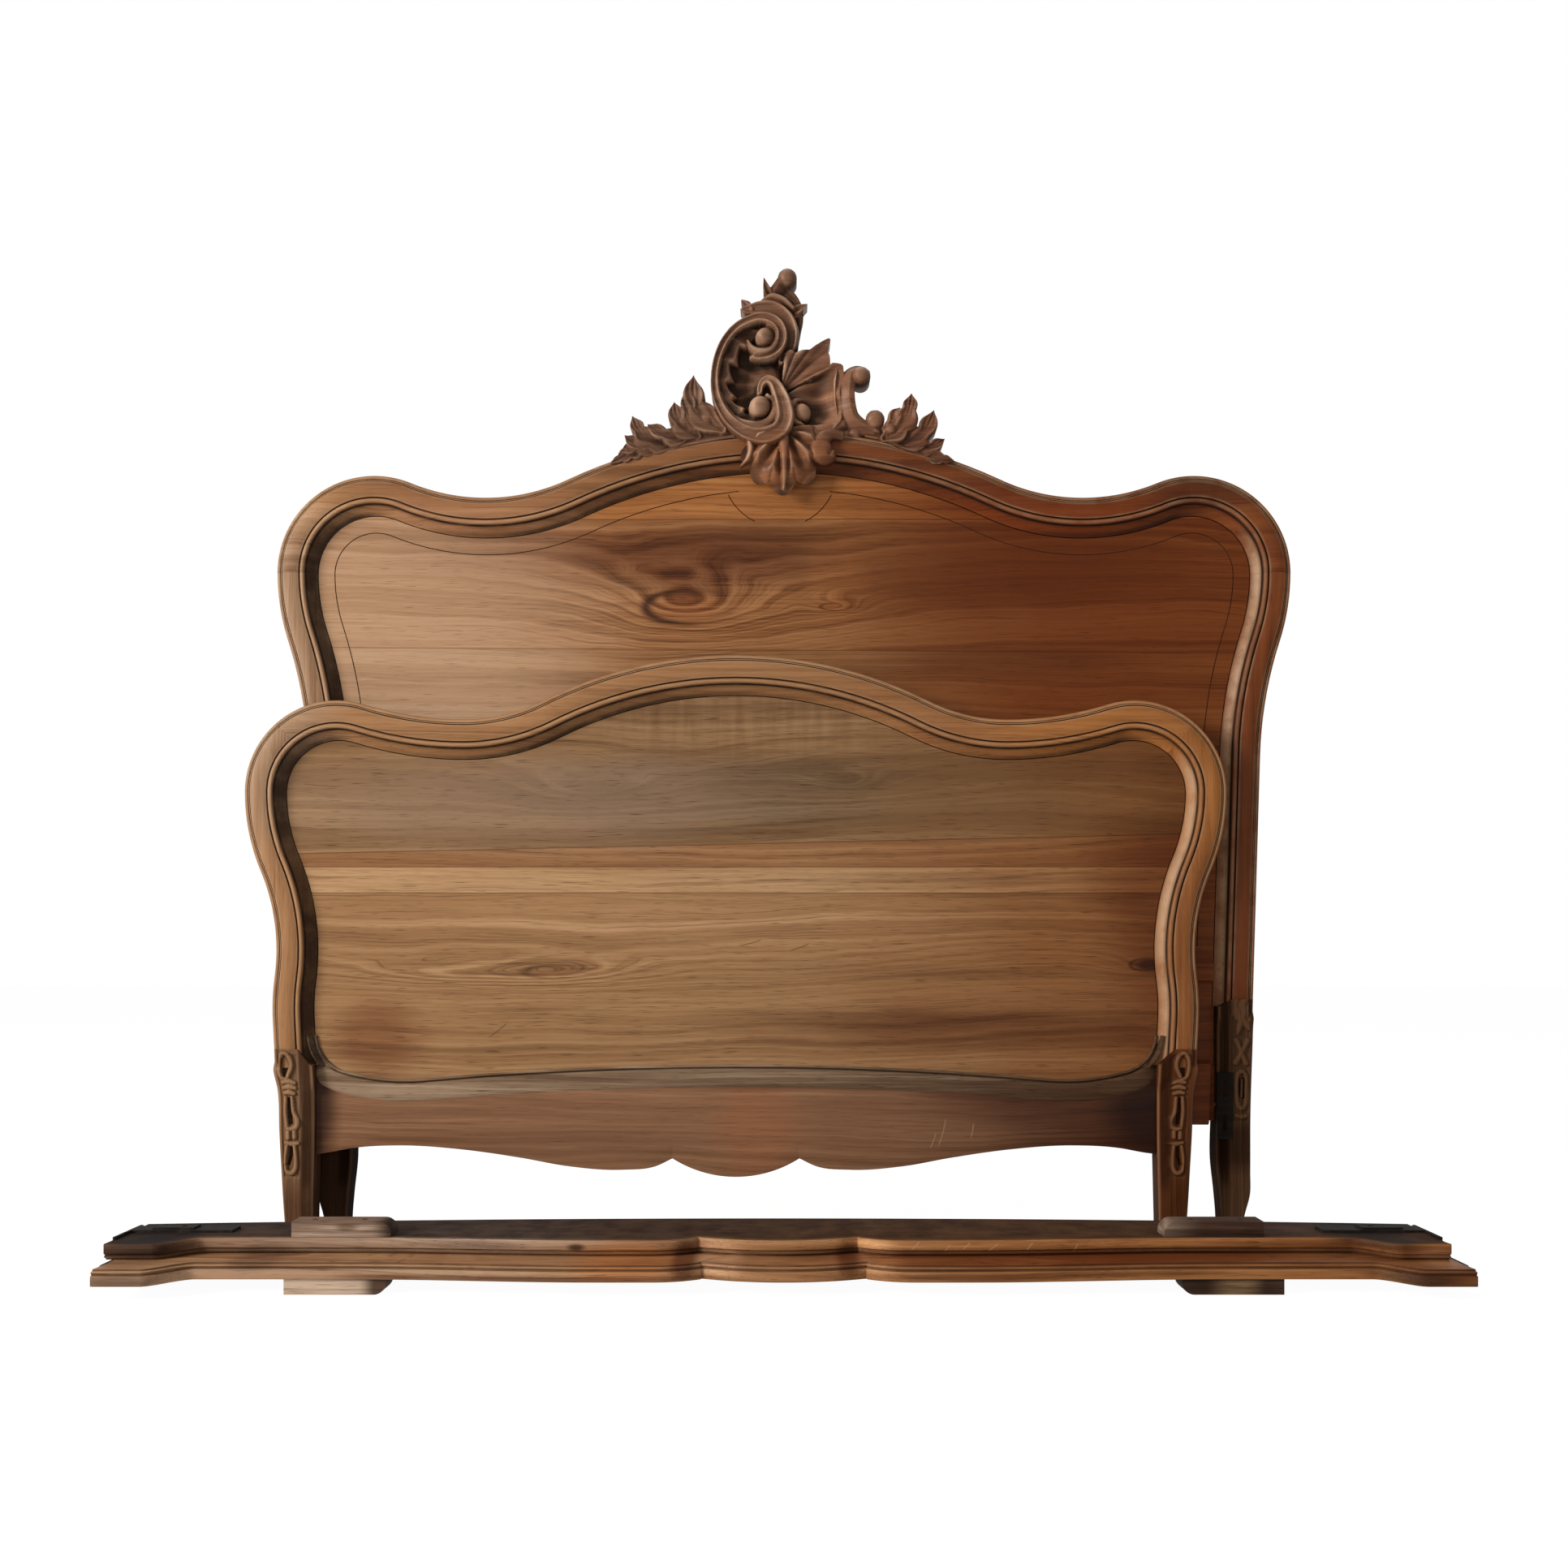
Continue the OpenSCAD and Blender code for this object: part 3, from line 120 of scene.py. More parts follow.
def mirrored(line):
    return line[::-1] * np.array([-1, 1, -1])


def both_sides(line):
    return np.concatenate([mirrored(line[1:]), line])


def inset(line, distance):
    """A line moved to its right by a distance, keeping its headings."""
    moved = line.copy()
    moved[:, :2] += distance * right_of(line[:, 2])
    return moved


def bow(x, y, radius, start, end, count):
    """Points on an arc about (x, y) between two angles in degrees."""
    angle = np.radians(np.linspace(start, end, count))
    return np.column_stack([x + radius * np.cos(angle), y + radius * np.sin(angle)])


def carried(line, inward, height):
    """A section carried along a line, as a grid of (x, z, height). Its points may differ by station."""
    right = right_of(line[:, 2])
    planar = line[:, None, :2] + inward[..., None] * right[:, None, :]
    return np.concatenate([planar, np.broadcast_to(height, planar.shape[:2])[..., None]], -1)


def new_piece(name, points, faces, material, smooth, marks, replaces=()):
    """One mesh object at the origin, in metres, riding on the bed, with its faces turned outwards."""
    mesh = bpy.data.meshes.new(name)
    mesh.from_pydata(points.reshape(-1, 3), [], faces)
    for label, values in marks.items():
        layer = mesh.attributes.new(label, "FLOAT", "POINT")
        layer.data.foreach_set("value", np.asarray(values, np.float32).ravel())
    mesh.validate()
    mesh.shade_smooth()
    mesh.set_sharp_from_angle(angle=math.radians(smooth))
    piece = bpy.data.objects.new(name, mesh)
    bpy.context.scene.collection.objects.link(piece)
    mesh.materials.append(material)
    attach(piece, BODY)
    if replaces:
        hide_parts(*replaces)


def carried_piece(name, place, grid, material, smooth, marks, replaces=()):
    """A piece whose rows are closed rings, joined by quads and capped at both ends."""
    rows, columns = grid.shape[:2]
    i, j = np.meshgrid(np.arange(rows - 1) * columns, np.arange(columns), indexing="ij")
    across = (j + 1) % columns
    faces = np.stack([i + j, i + columns + j, i + columns + across, i + across], -1).reshape(-1, 4).tolist()
    ends = [list(range(columns)), list(range(rows * columns - 1, (rows - 1) * columns - 1, -1))]
    new_piece(name, place.out(grid), faces + ends, material, smooth, marks, replaces)


def smooth_curve(knots, per):
    """Points on a Catmull-Rom curve through knots of any dimension, per points to a span."""
    k = np.asarray(knots, float)
    k = np.concatenate([[2 * k[0] - k[1]], k, [2 * k[-1] - k[-2]]])
    t = np.arange(per)[:, None] / per
    spans = [0.5 * (2 * b + (c - a) * t + (2 * a - 5 * b + 4 * c - d) * t**2 + (3 * b - a - 3 * c + d) * t**3)
             for a, b, c, d in zip(k, k[1:], k[2:], k[3:])]
    return np.concatenate(spans + [k[-2:-1]])


def along_knots(knots, z):
    """A smooth curve through (z, value) knots: Catmull-Rom in z, as cubic Hermite spans."""
    knots = np.asarray(sorted(knots), float)
    at, value = knots[:, 0], knots[:, 1]
    slope = np.gradient(value, at)
    span = np.clip(np.searchsorted(at, z, side="right") - 1, 0, len(at) - 2)
    width = at[span + 1] - at[span]
    t = np.clip((z - at[span]) / width, 0, 1)
    rise = t * t * (3 - 2 * t)
    ease_in = t * (1 - t) ** 2 * width * slope[span]
    ease_out = -t * t * (1 - t) * width * slope[span + 1]
    return value[span] * (1 - rise) + value[span + 1] * rise + ease_in + ease_out


def between(value, low, high):
    """0 below low and 1 above high, with a smooth step between."""
    t = np.clip((value - low) / (high - low), 0, 1)
    return t * t * (3 - 2 * t)


# Shader values


class Value:
    """An output socket. Its sums, products and so on are math nodes of the same tree."""

    def __init__(self, wires, socket):
        self.wires = wires
        self.socket = socket

    def __add__(self, other):
        return self.wires.math("ADD", self, other)

    def __sub__(self, other):
        return self.wires.math("SUBTRACT", self, other)

    def __mul__(self, other):
        return self.wires.math("MULTIPLY", self, other)

    def __truediv__(self, other):
        return self.wires.math("DIVIDE", self, other)

    def __rtruediv__(self, other):
        return self.wires.math("DIVIDE", other, self)

    def __abs__(self):
        return self.wires.math("ABSOLUTE", self)

    def spread(self, low, high, to_low=0.0, to_high=1.0):
        """Maps low..high to to_low..to_high, clamped, with smooth ends."""
        return self.wires.value("ShaderNodeMapRange", enumerate((self, low, high, to_low, to_high)),
                                interpolation_type="SMOOTHSTEP")


class Wires:
    """Short ways to add nodes to one tree. What a node is fed is a number, a tuple or a Value."""

    def __init__(self, tree):
        self.tree = tree

    def feed(self, socket, value):
        if isinstance(value, Value):
            self.tree.links.new(value.socket, socket)
        else:
            socket.default_value = value

    def node(self, kind, feeds=(), **settings):
        made = self.tree.nodes.new(kind)
        for key, value in settings.items():
            setattr(made, key, value)
        for key, value in dict(feeds).items():
            self.feed(made.inputs[key], value)
        return made

    def value(self, kind, feeds=(), output=0, **settings):
        return Value(self, self.node(kind, feeds, **settings).outputs[output])

    def group(self, tree, *feeds):
        """The outputs of a shared node group, in order."""
        made = self.node("ShaderNodeGroup", enumerate(feeds), node_tree=tree)
        return [Value(self, socket) for socket in made.outputs]

    def math(self, operation, *values):
        return self.value("ShaderNodeMath", enumerate(values), operation=operation)

    def vector_math(self, operation, *vectors, output=0):
        return self.value("ShaderNodeVectorMath", enumerate(vectors), output, operation=operation)

    def apart(self, vector, axis):
        return self.value("ShaderNodeSeparateXYZ", {0: vector}, axis)

    def coordinates(self):
        return self.value("ShaderNodeTexCoord", output="Object")

    def marked(self, label):
        """A mesh attribute's value; 0 where the mesh has none."""
        return self.value("ShaderNodeAttribute", output="Fac", attribute_name=label)

    def mix(self, factor, a, b, blend="MIX"):
        return self.value("ShaderNodeMix", {0: factor, 6: a, 7: b}, 2, data_type="RGBA", blend_type=blend)

    def veiled(self, colour, amount, veil):
        return self.mix(amount, colour, (*veil, 1))

    def tinted(self, colour, amount, tint):
        """Colour times tint, by amount."""
        return self.mix(amount, colour, self.mix(1.0, colour, (*tint, 1), "MULTIPLY"))

    def ramp(self, factor, stops):
        """A colour ramp through (position, colour) stops."""
        made = self.node("ShaderNodeValToRGB", {"Fac": factor})
        elements = made.color_ramp.elements
        while len(elements) < len(stops):
            elements.new(0.5)
        for element, (position, colour) in zip(elements, stops):
            element.position = position
            element.color = (*colour, 1)
        return Value(self, made.outputs[0])

    def noise(self, vector, scale, detail, rough=0.5):
        feeds = {"Vector": vector, "Scale": scale, "Detail": detail, "Roughness": rough}
        return self.value("ShaderNodeTexNoise", feeds)

    def noise_line(self, w, scale, detail, rough=0.5):
        feeds = {"W": w, "Scale": scale, "Detail": detail, "Roughness": rough}
        return self.value("ShaderNodeTexNoise", feeds, noise_dimensions="1D")

    def stretched(self, vector, scale, place=(0, 0, 0), turn=(0, 0, 0)):
        feeds = {"Vector": vector, "Location": place, "Rotation": turn, "Scale": scale}
        return self.value("ShaderNodeMapping", feeds)

    def streaky(self, vector, scale, detail, rough=0.5, turn=(0, 0, 0)):
        """Noise that is drawn out by a different scale along each axis."""
        return self.noise(self.stretched(vector, scale, turn=turn), 1.0, detail, rough)

    def radii(self, vector, centre, reach):
        """How far a point is from a centre, as a vector and a length, with its reach as the unit."""
        offset = self.vector_math("DIVIDE", self.vector_math("SUBTRACT", vector, centre), reach)
        return offset, self.vector_math("LENGTH", offset, output="Value")

    def bump(self, shader, height, strength, distance):
        bump = self.node("ShaderNodeBump", {"Height": height, "Strength": strength, "Distance": distance})
        self.feed(shader.inputs["Normal"], Value(self, bump.outputs[0]))


def shader_group(build, **inputs):
    """A shared node group. build takes its wires and inputs, and gives its outputs by name."""
    tree = bpy.data.node_groups.new(build.__name__, "ShaderNodeTree")
    for label, value in inputs.items():
        kind = "NodeSocketFloat" if isinstance(value, float) else "NodeSocketVector"
        tree.interface.new_socket(label, in_out="INPUT", socket_type=kind).default_value = value
    wires = Wires(tree)
    given = wires.node("NodeGroupInput")
    outputs = build(wires, *(Value(wires, given.outputs[label]) for label in inputs))
    for label in outputs:
        tree.interface.new_socket(label, in_out="OUTPUT", socket_type="NodeSocketFloat")
    wires.node("NodeGroupOutput", outputs)
    return tree


def walnut_grain(wires, vector, swell, ring, warping):
    """Walnut figure. The grain runs along X of the vector and the rings lie across its Z.

    Rings are noise along z + warp + swell, so a swell lifts them into the eye of a knot.
    """
    slow = wires.streaky(vector, (0.9, 3.0, 3.2), 2.0)
    quick = wires.streaky(vector, (4.0, 12.0, 16.0), 3.0)
    warp = (slow - 0.5) * (warping * 5.0)
    ripple = (quick - 0.5) * (warping * 0.7)
    rings = (wires.apart(vector, 2) + swell + (warp + ripple)) / ring
    fibre = wires.streaky(vector, (7.0, 260.0, 420.0), 3.0, 0.6)
    edge = abs(wires.noise_line(rings, 0.8, 2.0) - 0.5)
    breaks = wires.streaky(vector, (5.0, 40.0, 60.0), 2.0).spread(0.42, 0.6)
    return {
        "Tone": wires.noise_line(rings, 1.0, 4.0, 0.6) * 0.6 + fibre * 0.4,
        "Band": wires.noise_line(rings, 0.16, 2.0),
        "Line": edge.spread(0.022, 0.0) * breaks,
        "Pore": wires.streaky(vector, (26.0, 700.0, 900.0), 1.0).spread(0.62, 0.74),
    }


def knot_eye(wires, vector, centre, reach, lift):
    """Lift of the rings round a knot: lift / (1 + d^2), d measured in the knot's radii. The rim is a
    crescent at its left."""
    offset, length = wires.radii(vector, centre, reach)
    shake = wires.streaky(vector, (6.0, 9.0, 16.0), 2.0)
    d = length * (shake * 0.6 + 0.7)
    leftward = (wires.apart(offset, 0) + (shake - 0.5)).spread(0.25, -0.35, 0.2, 1.0)
    return {
        "Swell": 1.0 / (d * d + 1.0) * lift,
        "Core": d.spread(0.7, 0.1),
        "Rim": abs(d - 0.5).spread(0.14, 0.0) * leftward,
    }


def soft_patch(wires, vector, centre, reach, ragged):
    """A soft patch: 1 within a third of its reach, 0 outside it, with an edge that noise wears."""
    length = wires.radii(vector, centre, reach)[1]
    cloud = wires.streaky(vector, (3.0, 6.0, 14.0), 4.0, 0.6)
    return {"Amount": (length + (cloud - 0.5) * ragged).spread(1.0, 0.3)}


MIDDLE = (0.0, 0.0, 0.0)
REACH = (0.1, 1.0, 0.1)
GRAIN = shader_group(walnut_grain, Vector=MIDDLE, Swell=0.0, Ring=0.012, Warp=0.02)
KNOT = shader_group(knot_eye, Vector=MIDDLE, Centre=MIDDLE, Reach=REACH, Lift=0.05)
PATCH = shader_group(soft_patch, Vector=MIDDLE, Centre=MIDDLE, Reach=REACH, Ragged=0.5)
THROUGH = 9.0


def spot(x, z, reach_x, reach_z):
    """Centre and reach of a spot on a board's face, which goes through the whole depth of the bed."""
    return (x, 0.0, z), (reach_x, THROUGH, reach_z)


def start_material(name):
    material = bpy.data.materials.new(name)
    material.use_nodes = True
    tree = material.node_tree
    return material, Wires(tree), tree.nodes["Principled BSDF"]


# Settings of one walnut, with lengths in metres. Tints multiply the wood's own colour. A spot is
# (x, z, reach along x, reach along z). knots are (*spot, lift, eye); planks are glue lines
# (height at x 0, slope, tint above it); patches are (*spot, ragged, tint, amount), and some of them are
# painted light and shade; haze is the same with a colour that veils the wood, on the left of the
# headboard's panel a painted sheen; ripple is (*spot, depth); side is (tint, x where it starts, x where
# it is full, amount), a painted shade that grows towards the right, away from the window; streaks is
# (low, high, tint, amount); scratches are (x, z, half length, angle in degrees).
PLAIN_WOOD = dict(
    turn=(0, 0, 0), place=(0, 0, 0), ring=0.012, warp=0.02, rough=0.4, gloss=0.09, pore=0.45, dirt=0.85,
    knots=(), planks=(), patches=(), haze=(), ripple=None, side=None, streaks=None, scratches=(),
    scratch_tone=(0.05, 0.03, 0.02), stain=0.0, stain_tint=(0.17, 0.13, 0.12), worn=0.0,
    worn_tone=(0.50, 0.33, 0.20))
DARK_TONE, MID_TONE, PALE_TONE = 0.30, 0.52, 0.74
PLANK_SHIFT = 1.37
# Near-black tone of dirt and of painted shade in hollows.
DIRT_AND_SHADE_TONE = (0.016, 0.009, 0.006)


class Wood:
    """The settings of one walnut, by name."""

    def __init__(self, settings):
        for key, value in settings.items():
            setattr(self, key, value)


def walnut(name, dark, mid, pale, **settings):
    """Polished walnut: rings and fibres in three tones, dark pores and lines, then stains, wear, and painted
    light and shade.
    """
    wood = Wood({**PLAIN_WOOD, **settings})
    material, wires, shader = start_material(name)
    coordinates = wires.coordinates()
    x, z = wires.apart(coordinates, 0), wires.apart(coordinates, 2)
    vector = wires.stretched(coordinates, (1, 1, 1), wood.place, wood.turn)
    seam = 0.0
    boards = []
    for height, slope, tint in wood.planks:
        above = z - (x * slope + height)
        step = above.spread(-0.0005, 0.0005, 0.0, PLANK_SHIFT)
        boards.append((above.spread(-0.0006, 0.0006), tint))
        shift = wires.value("ShaderNodeCombineXYZ", enumerate((step, step, step)))
        vector = wires.vector_math("ADD", vector, shift)
        seam = wires.math("MAXIMUM", seam, abs(above).spread(0.0016, 0.0003))
    swell, core, rim = 0.0, 0.0, 0.0
    for *where, lift, seen in wood.knots:
        lifted, eye, crescent = wires.group(KNOT, coordinates, *spot(*where), lift)
        swell = lifted + swell
        core = wires.math("MAXIMUM", core, eye * seen)
        rim = wires.math("MAXIMUM", rim, crescent * seen)
    figure, band, line, pore = wires.group(GRAIN, vector, swell, wood.ring, wood.warp)
    tone = figure * 0.66 + band * 0.40
    if wood.ripple:
        *where, depth = wood.ripple
        waves = wires.streaky(coordinates, (62.0, 1.0, 7.0), 2.0, turn=(0, 0.2, 0))
        tone = tone + (waves - 0.5) * depth * wires.group(PATCH, coordinates, *spot(*where), 0.5)[0]
    if wood.knots:
        tone = tone + (figure - 0.5) * swell.spread(0.012, 0.06, 0.0, 0.9)
    colour = wires.ramp(tone, [(DARK_TONE, dark), (MID_TONE, mid), (PALE_TONE, pale)])
    for above, tint in boards:
        colour = wires.tinted(colour, above, tint)
    if wood.knots:
        colour = wires.tinted(colour, core * 0.5, (0.80, 0.52, 0.38))
        colour = wires.tinted(colour, rim, (0.16, 0.11, 0.10))
    colour = wires.tinted(colour, line * 0.55, (0.42, 0.34, 0.30))
    if wood.streaks:
        low, high, tint, amount = wood.streaks
        smoke = wires.streaky(vector, (0.9, 8.0, 20.0), 5.0, 0.66)
        colour = wires.tinted(colour, smoke.spread(low, high, 0.0, amount), tint)
    for spots, laid in ((wood.patches, wires.tinted), (wood.haze, wires.veiled)):
        for *where, ragged, tint, amount in spots:
            patch = wires.group(PATCH, coordinates, *spot(*where), ragged)[0]
            colour = laid(colour, patch * amount, tint)
    # Painted shade: the wood darkens and reddens across x towards the right, away from the window.
    if wood.side:
        tint, start, end, amount = wood.side
        across = x + (wires.noise(coordinates, 2.2, 2.0) - 0.5) * 0.6
        colour = wires.tinted(colour, across.spread(start, end, 0.0, amount), tint)
    colour = wires.tinted(colour, pore * wood.pore, (0.35, 0.30, 0.28))
    if wood.planks:
        colour = wires.tinted(colour, seam * 0.55, (0.35, 0.28, 0.25))
    mottle = wires.noise(coordinates, 26.0, 4.0, 0.6)
    # Paler where the mesh marks wear on proud points, and where it marks a painted highlight on the
    # moulding's bevels that face the window.
    if wood.worn:
        wear_and_highlight_mask = wires.marked("worn") * mottle.spread(0.28, 0.62, 0.25, wood.worn)
        colour = wires.veiled(colour, wear_and_highlight_mask, wood.worn_tone)
    for place_x, place_z, half, angle in wood.scratches:
        cos, sin = math.cos(math.radians(angle)), math.sin(math.radians(angle))
        dx, dz = x - place_x, z - place_z
        run = dx * cos + dz * sin
        bent = run * run * 3.0
        near = abs(dz * cos - dx * sin - bent).spread(0.0013, 0.0004)
        within = abs(run).spread(half, half * 0.6)
        colour = wires.veiled(colour, near * within * 0.6, wood.scratch_tone)
    stained = 0.0
    if wood.stain:
        stained = wires.marked("stain") * mottle.spread(0.25, 0.7, 1.0, 0.9)
        colour = wires.tinted(colour, stained * wood.stain, wood.stain_tint)
    # Darker where the hollow mark says: dirt in crevices, and painted shade in the carving's hollows, on
    # moulding bevels facing away from the window, along the half-round's edges and at the fillet's left end.
    dirt = wires.marked("hollow") * mottle.spread(0.2, 0.6, 0.7, 1.0)
    wires.feed(shader.inputs["Base Color"], wires.veiled(colour, dirt * wood.dirt, DIRT_AND_SHADE_TONE))
    polish = wires.noise(coordinates, 7.0, 3.0).spread(0.2, 0.8, wood.rough - 0.07, wood.rough + 0.1)
    dull = wires.math("MAXIMUM", dirt, stained) * 0.35
    wires.feed(shader.inputs["Roughness"], polish + dull)
    shader.inputs["Specular IOR Level"].default_value = wood.gloss
    wires.bump(shader, figure - pore, 0.12, 0.0006)
    return material


UPRIGHT = (0, math.pi / 2, 0)
# Tint of the painted shade that darkens and reddens the headboard's frame towards the right.
SHADED_RED_SIDE = (0.48, 0.22, 0.10)
FRAME_TONES = ((0.135, 0.054, 0.020), (0.285, 0.135, 0.055), (0.42, 0.225, 0.105))


def frame_walnut(name, tint, low, high, turn, patches=()):
    # The patch at the left is a painted sheen from the window, and the side tint a painted shade towards the
    # right.
    painted_left_sheen = (-0.84, 0.95, 0.17, 0.46, 0.4, (1.0, 1.26, 1.8), 0.8)
    return walnut(name, *FRAME_TONES, turn=turn, ring=0.014, side=(tint, low, high, 0.95), worn=0.72,
                  worn_tone=(0.50, 0.31, 0.175), dirt=0.95, patches=(painted_left_sheen, *patches))


HEAD_PATCHES = ((-0.50, 1.21, 0.30, 0.10, 0.6, (0.82, 0.72, 0.74), 0.8),
                (0.46, 1.20, 0.28, 0.08, 0.6, (0.84, 0.62, 0.42), 0.85),
                (0.70, 1.235, 0.14, 0.06, 0.7, (0.50, 0.44, 0.42), 0.8))
FOOT_PATCHES = ((0.50, 0.82, 0.26, 0.12, 0.6, (1.40, 1.50, 1.40), 0.85),)
head_level = frame_walnut("headboard_frame_level", SHADED_RED_SIDE, -0.6, 0.30, (0, 0, 0), HEAD_PATCHES)
head_upright = frame_walnut("headboard_frame_upright", SHADED_RED_SIDE, -0.45, 0.60, UPRIGHT)
foot_level = frame_walnut("footboard_frame_level", (0.80, 0.56, 0.36), -0.2, 0.6, (0, 0, 0), FOOT_PATCHES)
foot_upright = frame_walnut("footboard_frame_upright", (0.80, 0.56, 0.36), -0.2, 0.6, UPRIGHT,
                            ((0.70, 0.76, 0.10, 0.18, 0.5, (1.38, 1.50, 1.40), 0.85),))
# Painted shade: the headboard's legs stand in shade behind the footboard, so their tones are far darker than
# the footboard legs', and the patches darken the left leg and the right leg's lower part further.
shaded_head_leg_wood = walnut(
    "shaded_headboard_leg_walnut", (0.040, 0.018, 0.009), (0.085, 0.040, 0.019), (0.16, 0.08, 0.038), turn=UPRIGHT,
    stain=0.9, worn=0.30, worn_tone=(0.17, 0.075, 0.030), gloss=0.04, rough=0.6,
    patches=(
        (-0.75, 0.1, 0.2, 0.9, 0.2, (0.25, 0.23, 0.23), 0.9),
        (0.75, 0.16, 0.2, 0.06, 0.5, (0.30, 0.25, 0.22), 0.85)))
foot_leg_wood = walnut(
    "footboard_leg_walnut", (0.075, 0.034, 0.016), (0.175, 0.090, 0.044), (0.29, 0.165, 0.09), turn=UPRIGHT,
    stain=0.9, worn=0.35, gloss=0.05, worn_tone=(0.40, 0.22, 0.11),
    side=((0.62, 0.36, 0.20), -0.3, 0.3, 0.9),
    patches=(
        (0.67, 0.04, 0.1, 0.10, 0.5, (0.62, 0.50, 0.42), 0.8),
        (-0.80, 0.03, 0.12, 0.11, 0.5, (0.45, 0.38, 0.36), 0.9),
        (-0.79, 0.22, 0.10, 0.09, 0.5, (1.25, 1.30, 1.35), 0.8)))
head_panel = walnut(
    "headboard_panel_walnut", (0.110, 0.040, 0.013), (0.275, 0.122, 0.045), (0.41, 0.215, 0.095),
    ring=0.009, warp=0.03, place=(0.3, 0, 0),
    planks=((1.190, 0.0, (1.30, 1.22, 1.05)), (0.973, -0.006, (0.90, 0.82, 0.76))),
    streaks=(0.54, 0.72, (0.48, 0.36, 0.30), 0.5), pore=0.65, side=((0.56, 0.32, 0.17), -0.15, 0.50, 0.95),
    knots=(
        (-0.158, 1.046, 0.140, 0.054, 0.125, 1.0), (0.090, 1.045, 0.045, 0.011, 0.03, 0.8)),
    patches=(
        # A painted sheen: the left of the panel paled towards grey.
        (-0.66, 1.02, 0.46, 0.42, 0.5, (1.22, 1.62, 2.5), 0.9),
        (-0.12, 1.125, 0.34, 0.080, 0.7, (0.38, 0.28, 0.27), 0.9),
        (-0.42, 1.135, 0.30, 0.060, 0.8, (0.72, 0.62, 0.62), 0.8),
        (0.35, 1.11, 0.46, 0.11, 0.8, (0.52, 0.38, 0.30), 0.75),
        (0.09, 1.09, 0.07, 0.10, 0.5, (1.35, 1.35, 1.35), 0.6),
        (0.38, 0.955, 0.36, 0.035, 0.9, (0.50, 0.46, 0.46), 0.75),
        (0.42, 0.90, 0.40, 0.05, 0.6, (1.40, 1.35, 1.30), 0.6),
        # A painted shadow cast by the footboard on the panel's lower right.
        (0.30, 0.73, 0.60, 0.20, 0.4, (0.42, 0.30, 0.24), 0.85)),
    haze=(
        # A painted sheen from the window on the panel's left.
        (-0.66, 0.95, 0.50, 0.40, 0.5, (0.49, 0.300, 0.172), 0.42),
        (0.45, 1.04, 0.60, 0.26, 0.5, (0.185, 0.068, 0.020), 0.40)))
foot_panel = walnut(
    "footboard_panel_walnut", (0.130, 0.060, 0.026), (0.290, 0.150, 0.064), (0.42, 0.245, 0.120),
    ring=0.010, warp=0.026, place=(-0.4, 0, 0.2), streaks=(0.50, 0.70, (0.50, 0.44, 0.42), 0.6),
    ripple=(-0.07, 0.86, 0.40, 0.10, 0.28), pore=0.75, side=((0.66, 0.42, 0.24), -0.05, 0.60, 0.9),
    planks=(
        (0.569, 0.0, (1.28, 1.38, 1.50)), (0.611, 0.0, (0.66, 0.54, 0.46)),
        (0.650, 0.022, (0.90, 1.04, 1.14))),
    knots=(
        (0.590, 0.452, 0.045, 0.020, 0.03, 0.7), (-0.365, 0.440, 0.10, 0.020, 0.045, 0.5),
        (-0.530, 0.437, 0.16, 0.022, 0.05, 0.0), (-0.310, 0.735, 0.13, 0.034, 0.075, 0.0),
        (0.110, 0.745, 0.10, 0.026, 0.055, 0.0)),
    patches=(
        (-0.05, 0.728, 0.90, 0.090, 0.9, (0.50, 0.53, 0.60), 0.85),
        (-0.28, 0.735, 0.10, 0.020, 0.9, (0.46, 0.46, 0.50), 0.7),
        (0.12, 0.745, 0.07, 0.016, 0.9, (0.48, 0.48, 0.52), 0.7),
        (-0.10, 0.52, 0.60, 0.075, 0.6, (1.20, 1.24, 1.30), 0.8),
        (0.66, 0.55, 0.20, 0.30, 0.8, (0.50, 0.36, 0.28), 0.85),
        (0.600, 0.452, 0.035, 0.018, 0.8, (0.18, 0.13, 0.11), 0.9),
        (0.30, 0.345, 0.50, 0.05, 0.9, (0.55, 0.43, 0.38), 0.8),
        (-0.66, 0.33, 0.10, 0.09, 0.7, (0.62, 0.46, 0.40), 0.8)),
    haze=(
        (-0.42, 0.72, 0.55, 0.11, 0.7, (0.30, 0.185, 0.115), 0.5),
        (0.38, 0.72, 0.42, 0.10, 0.7, (0.27, 0.15, 0.065), 0.45)),
    scratches=(
        (-0.460, 0.345, 0.022, 38), (-0.05, 0.487, 0.022, 16), (0.03, 0.480, 0.02, 20)))
band_wood = walnut(
    "band_walnut", (0.11, 0.068, 0.041), (0.27, 0.178, 0.110), (0.46, 0.33, 0.225), ring=0.008, rough=0.5,
    gloss=0.05, pore=0.9, streaks=(0.50, 0.62, (0.50, 0.42, 0.38), 0.7),
    side=((0.25, 0.165, 0.12), -0.2, 0.6, 0.93))
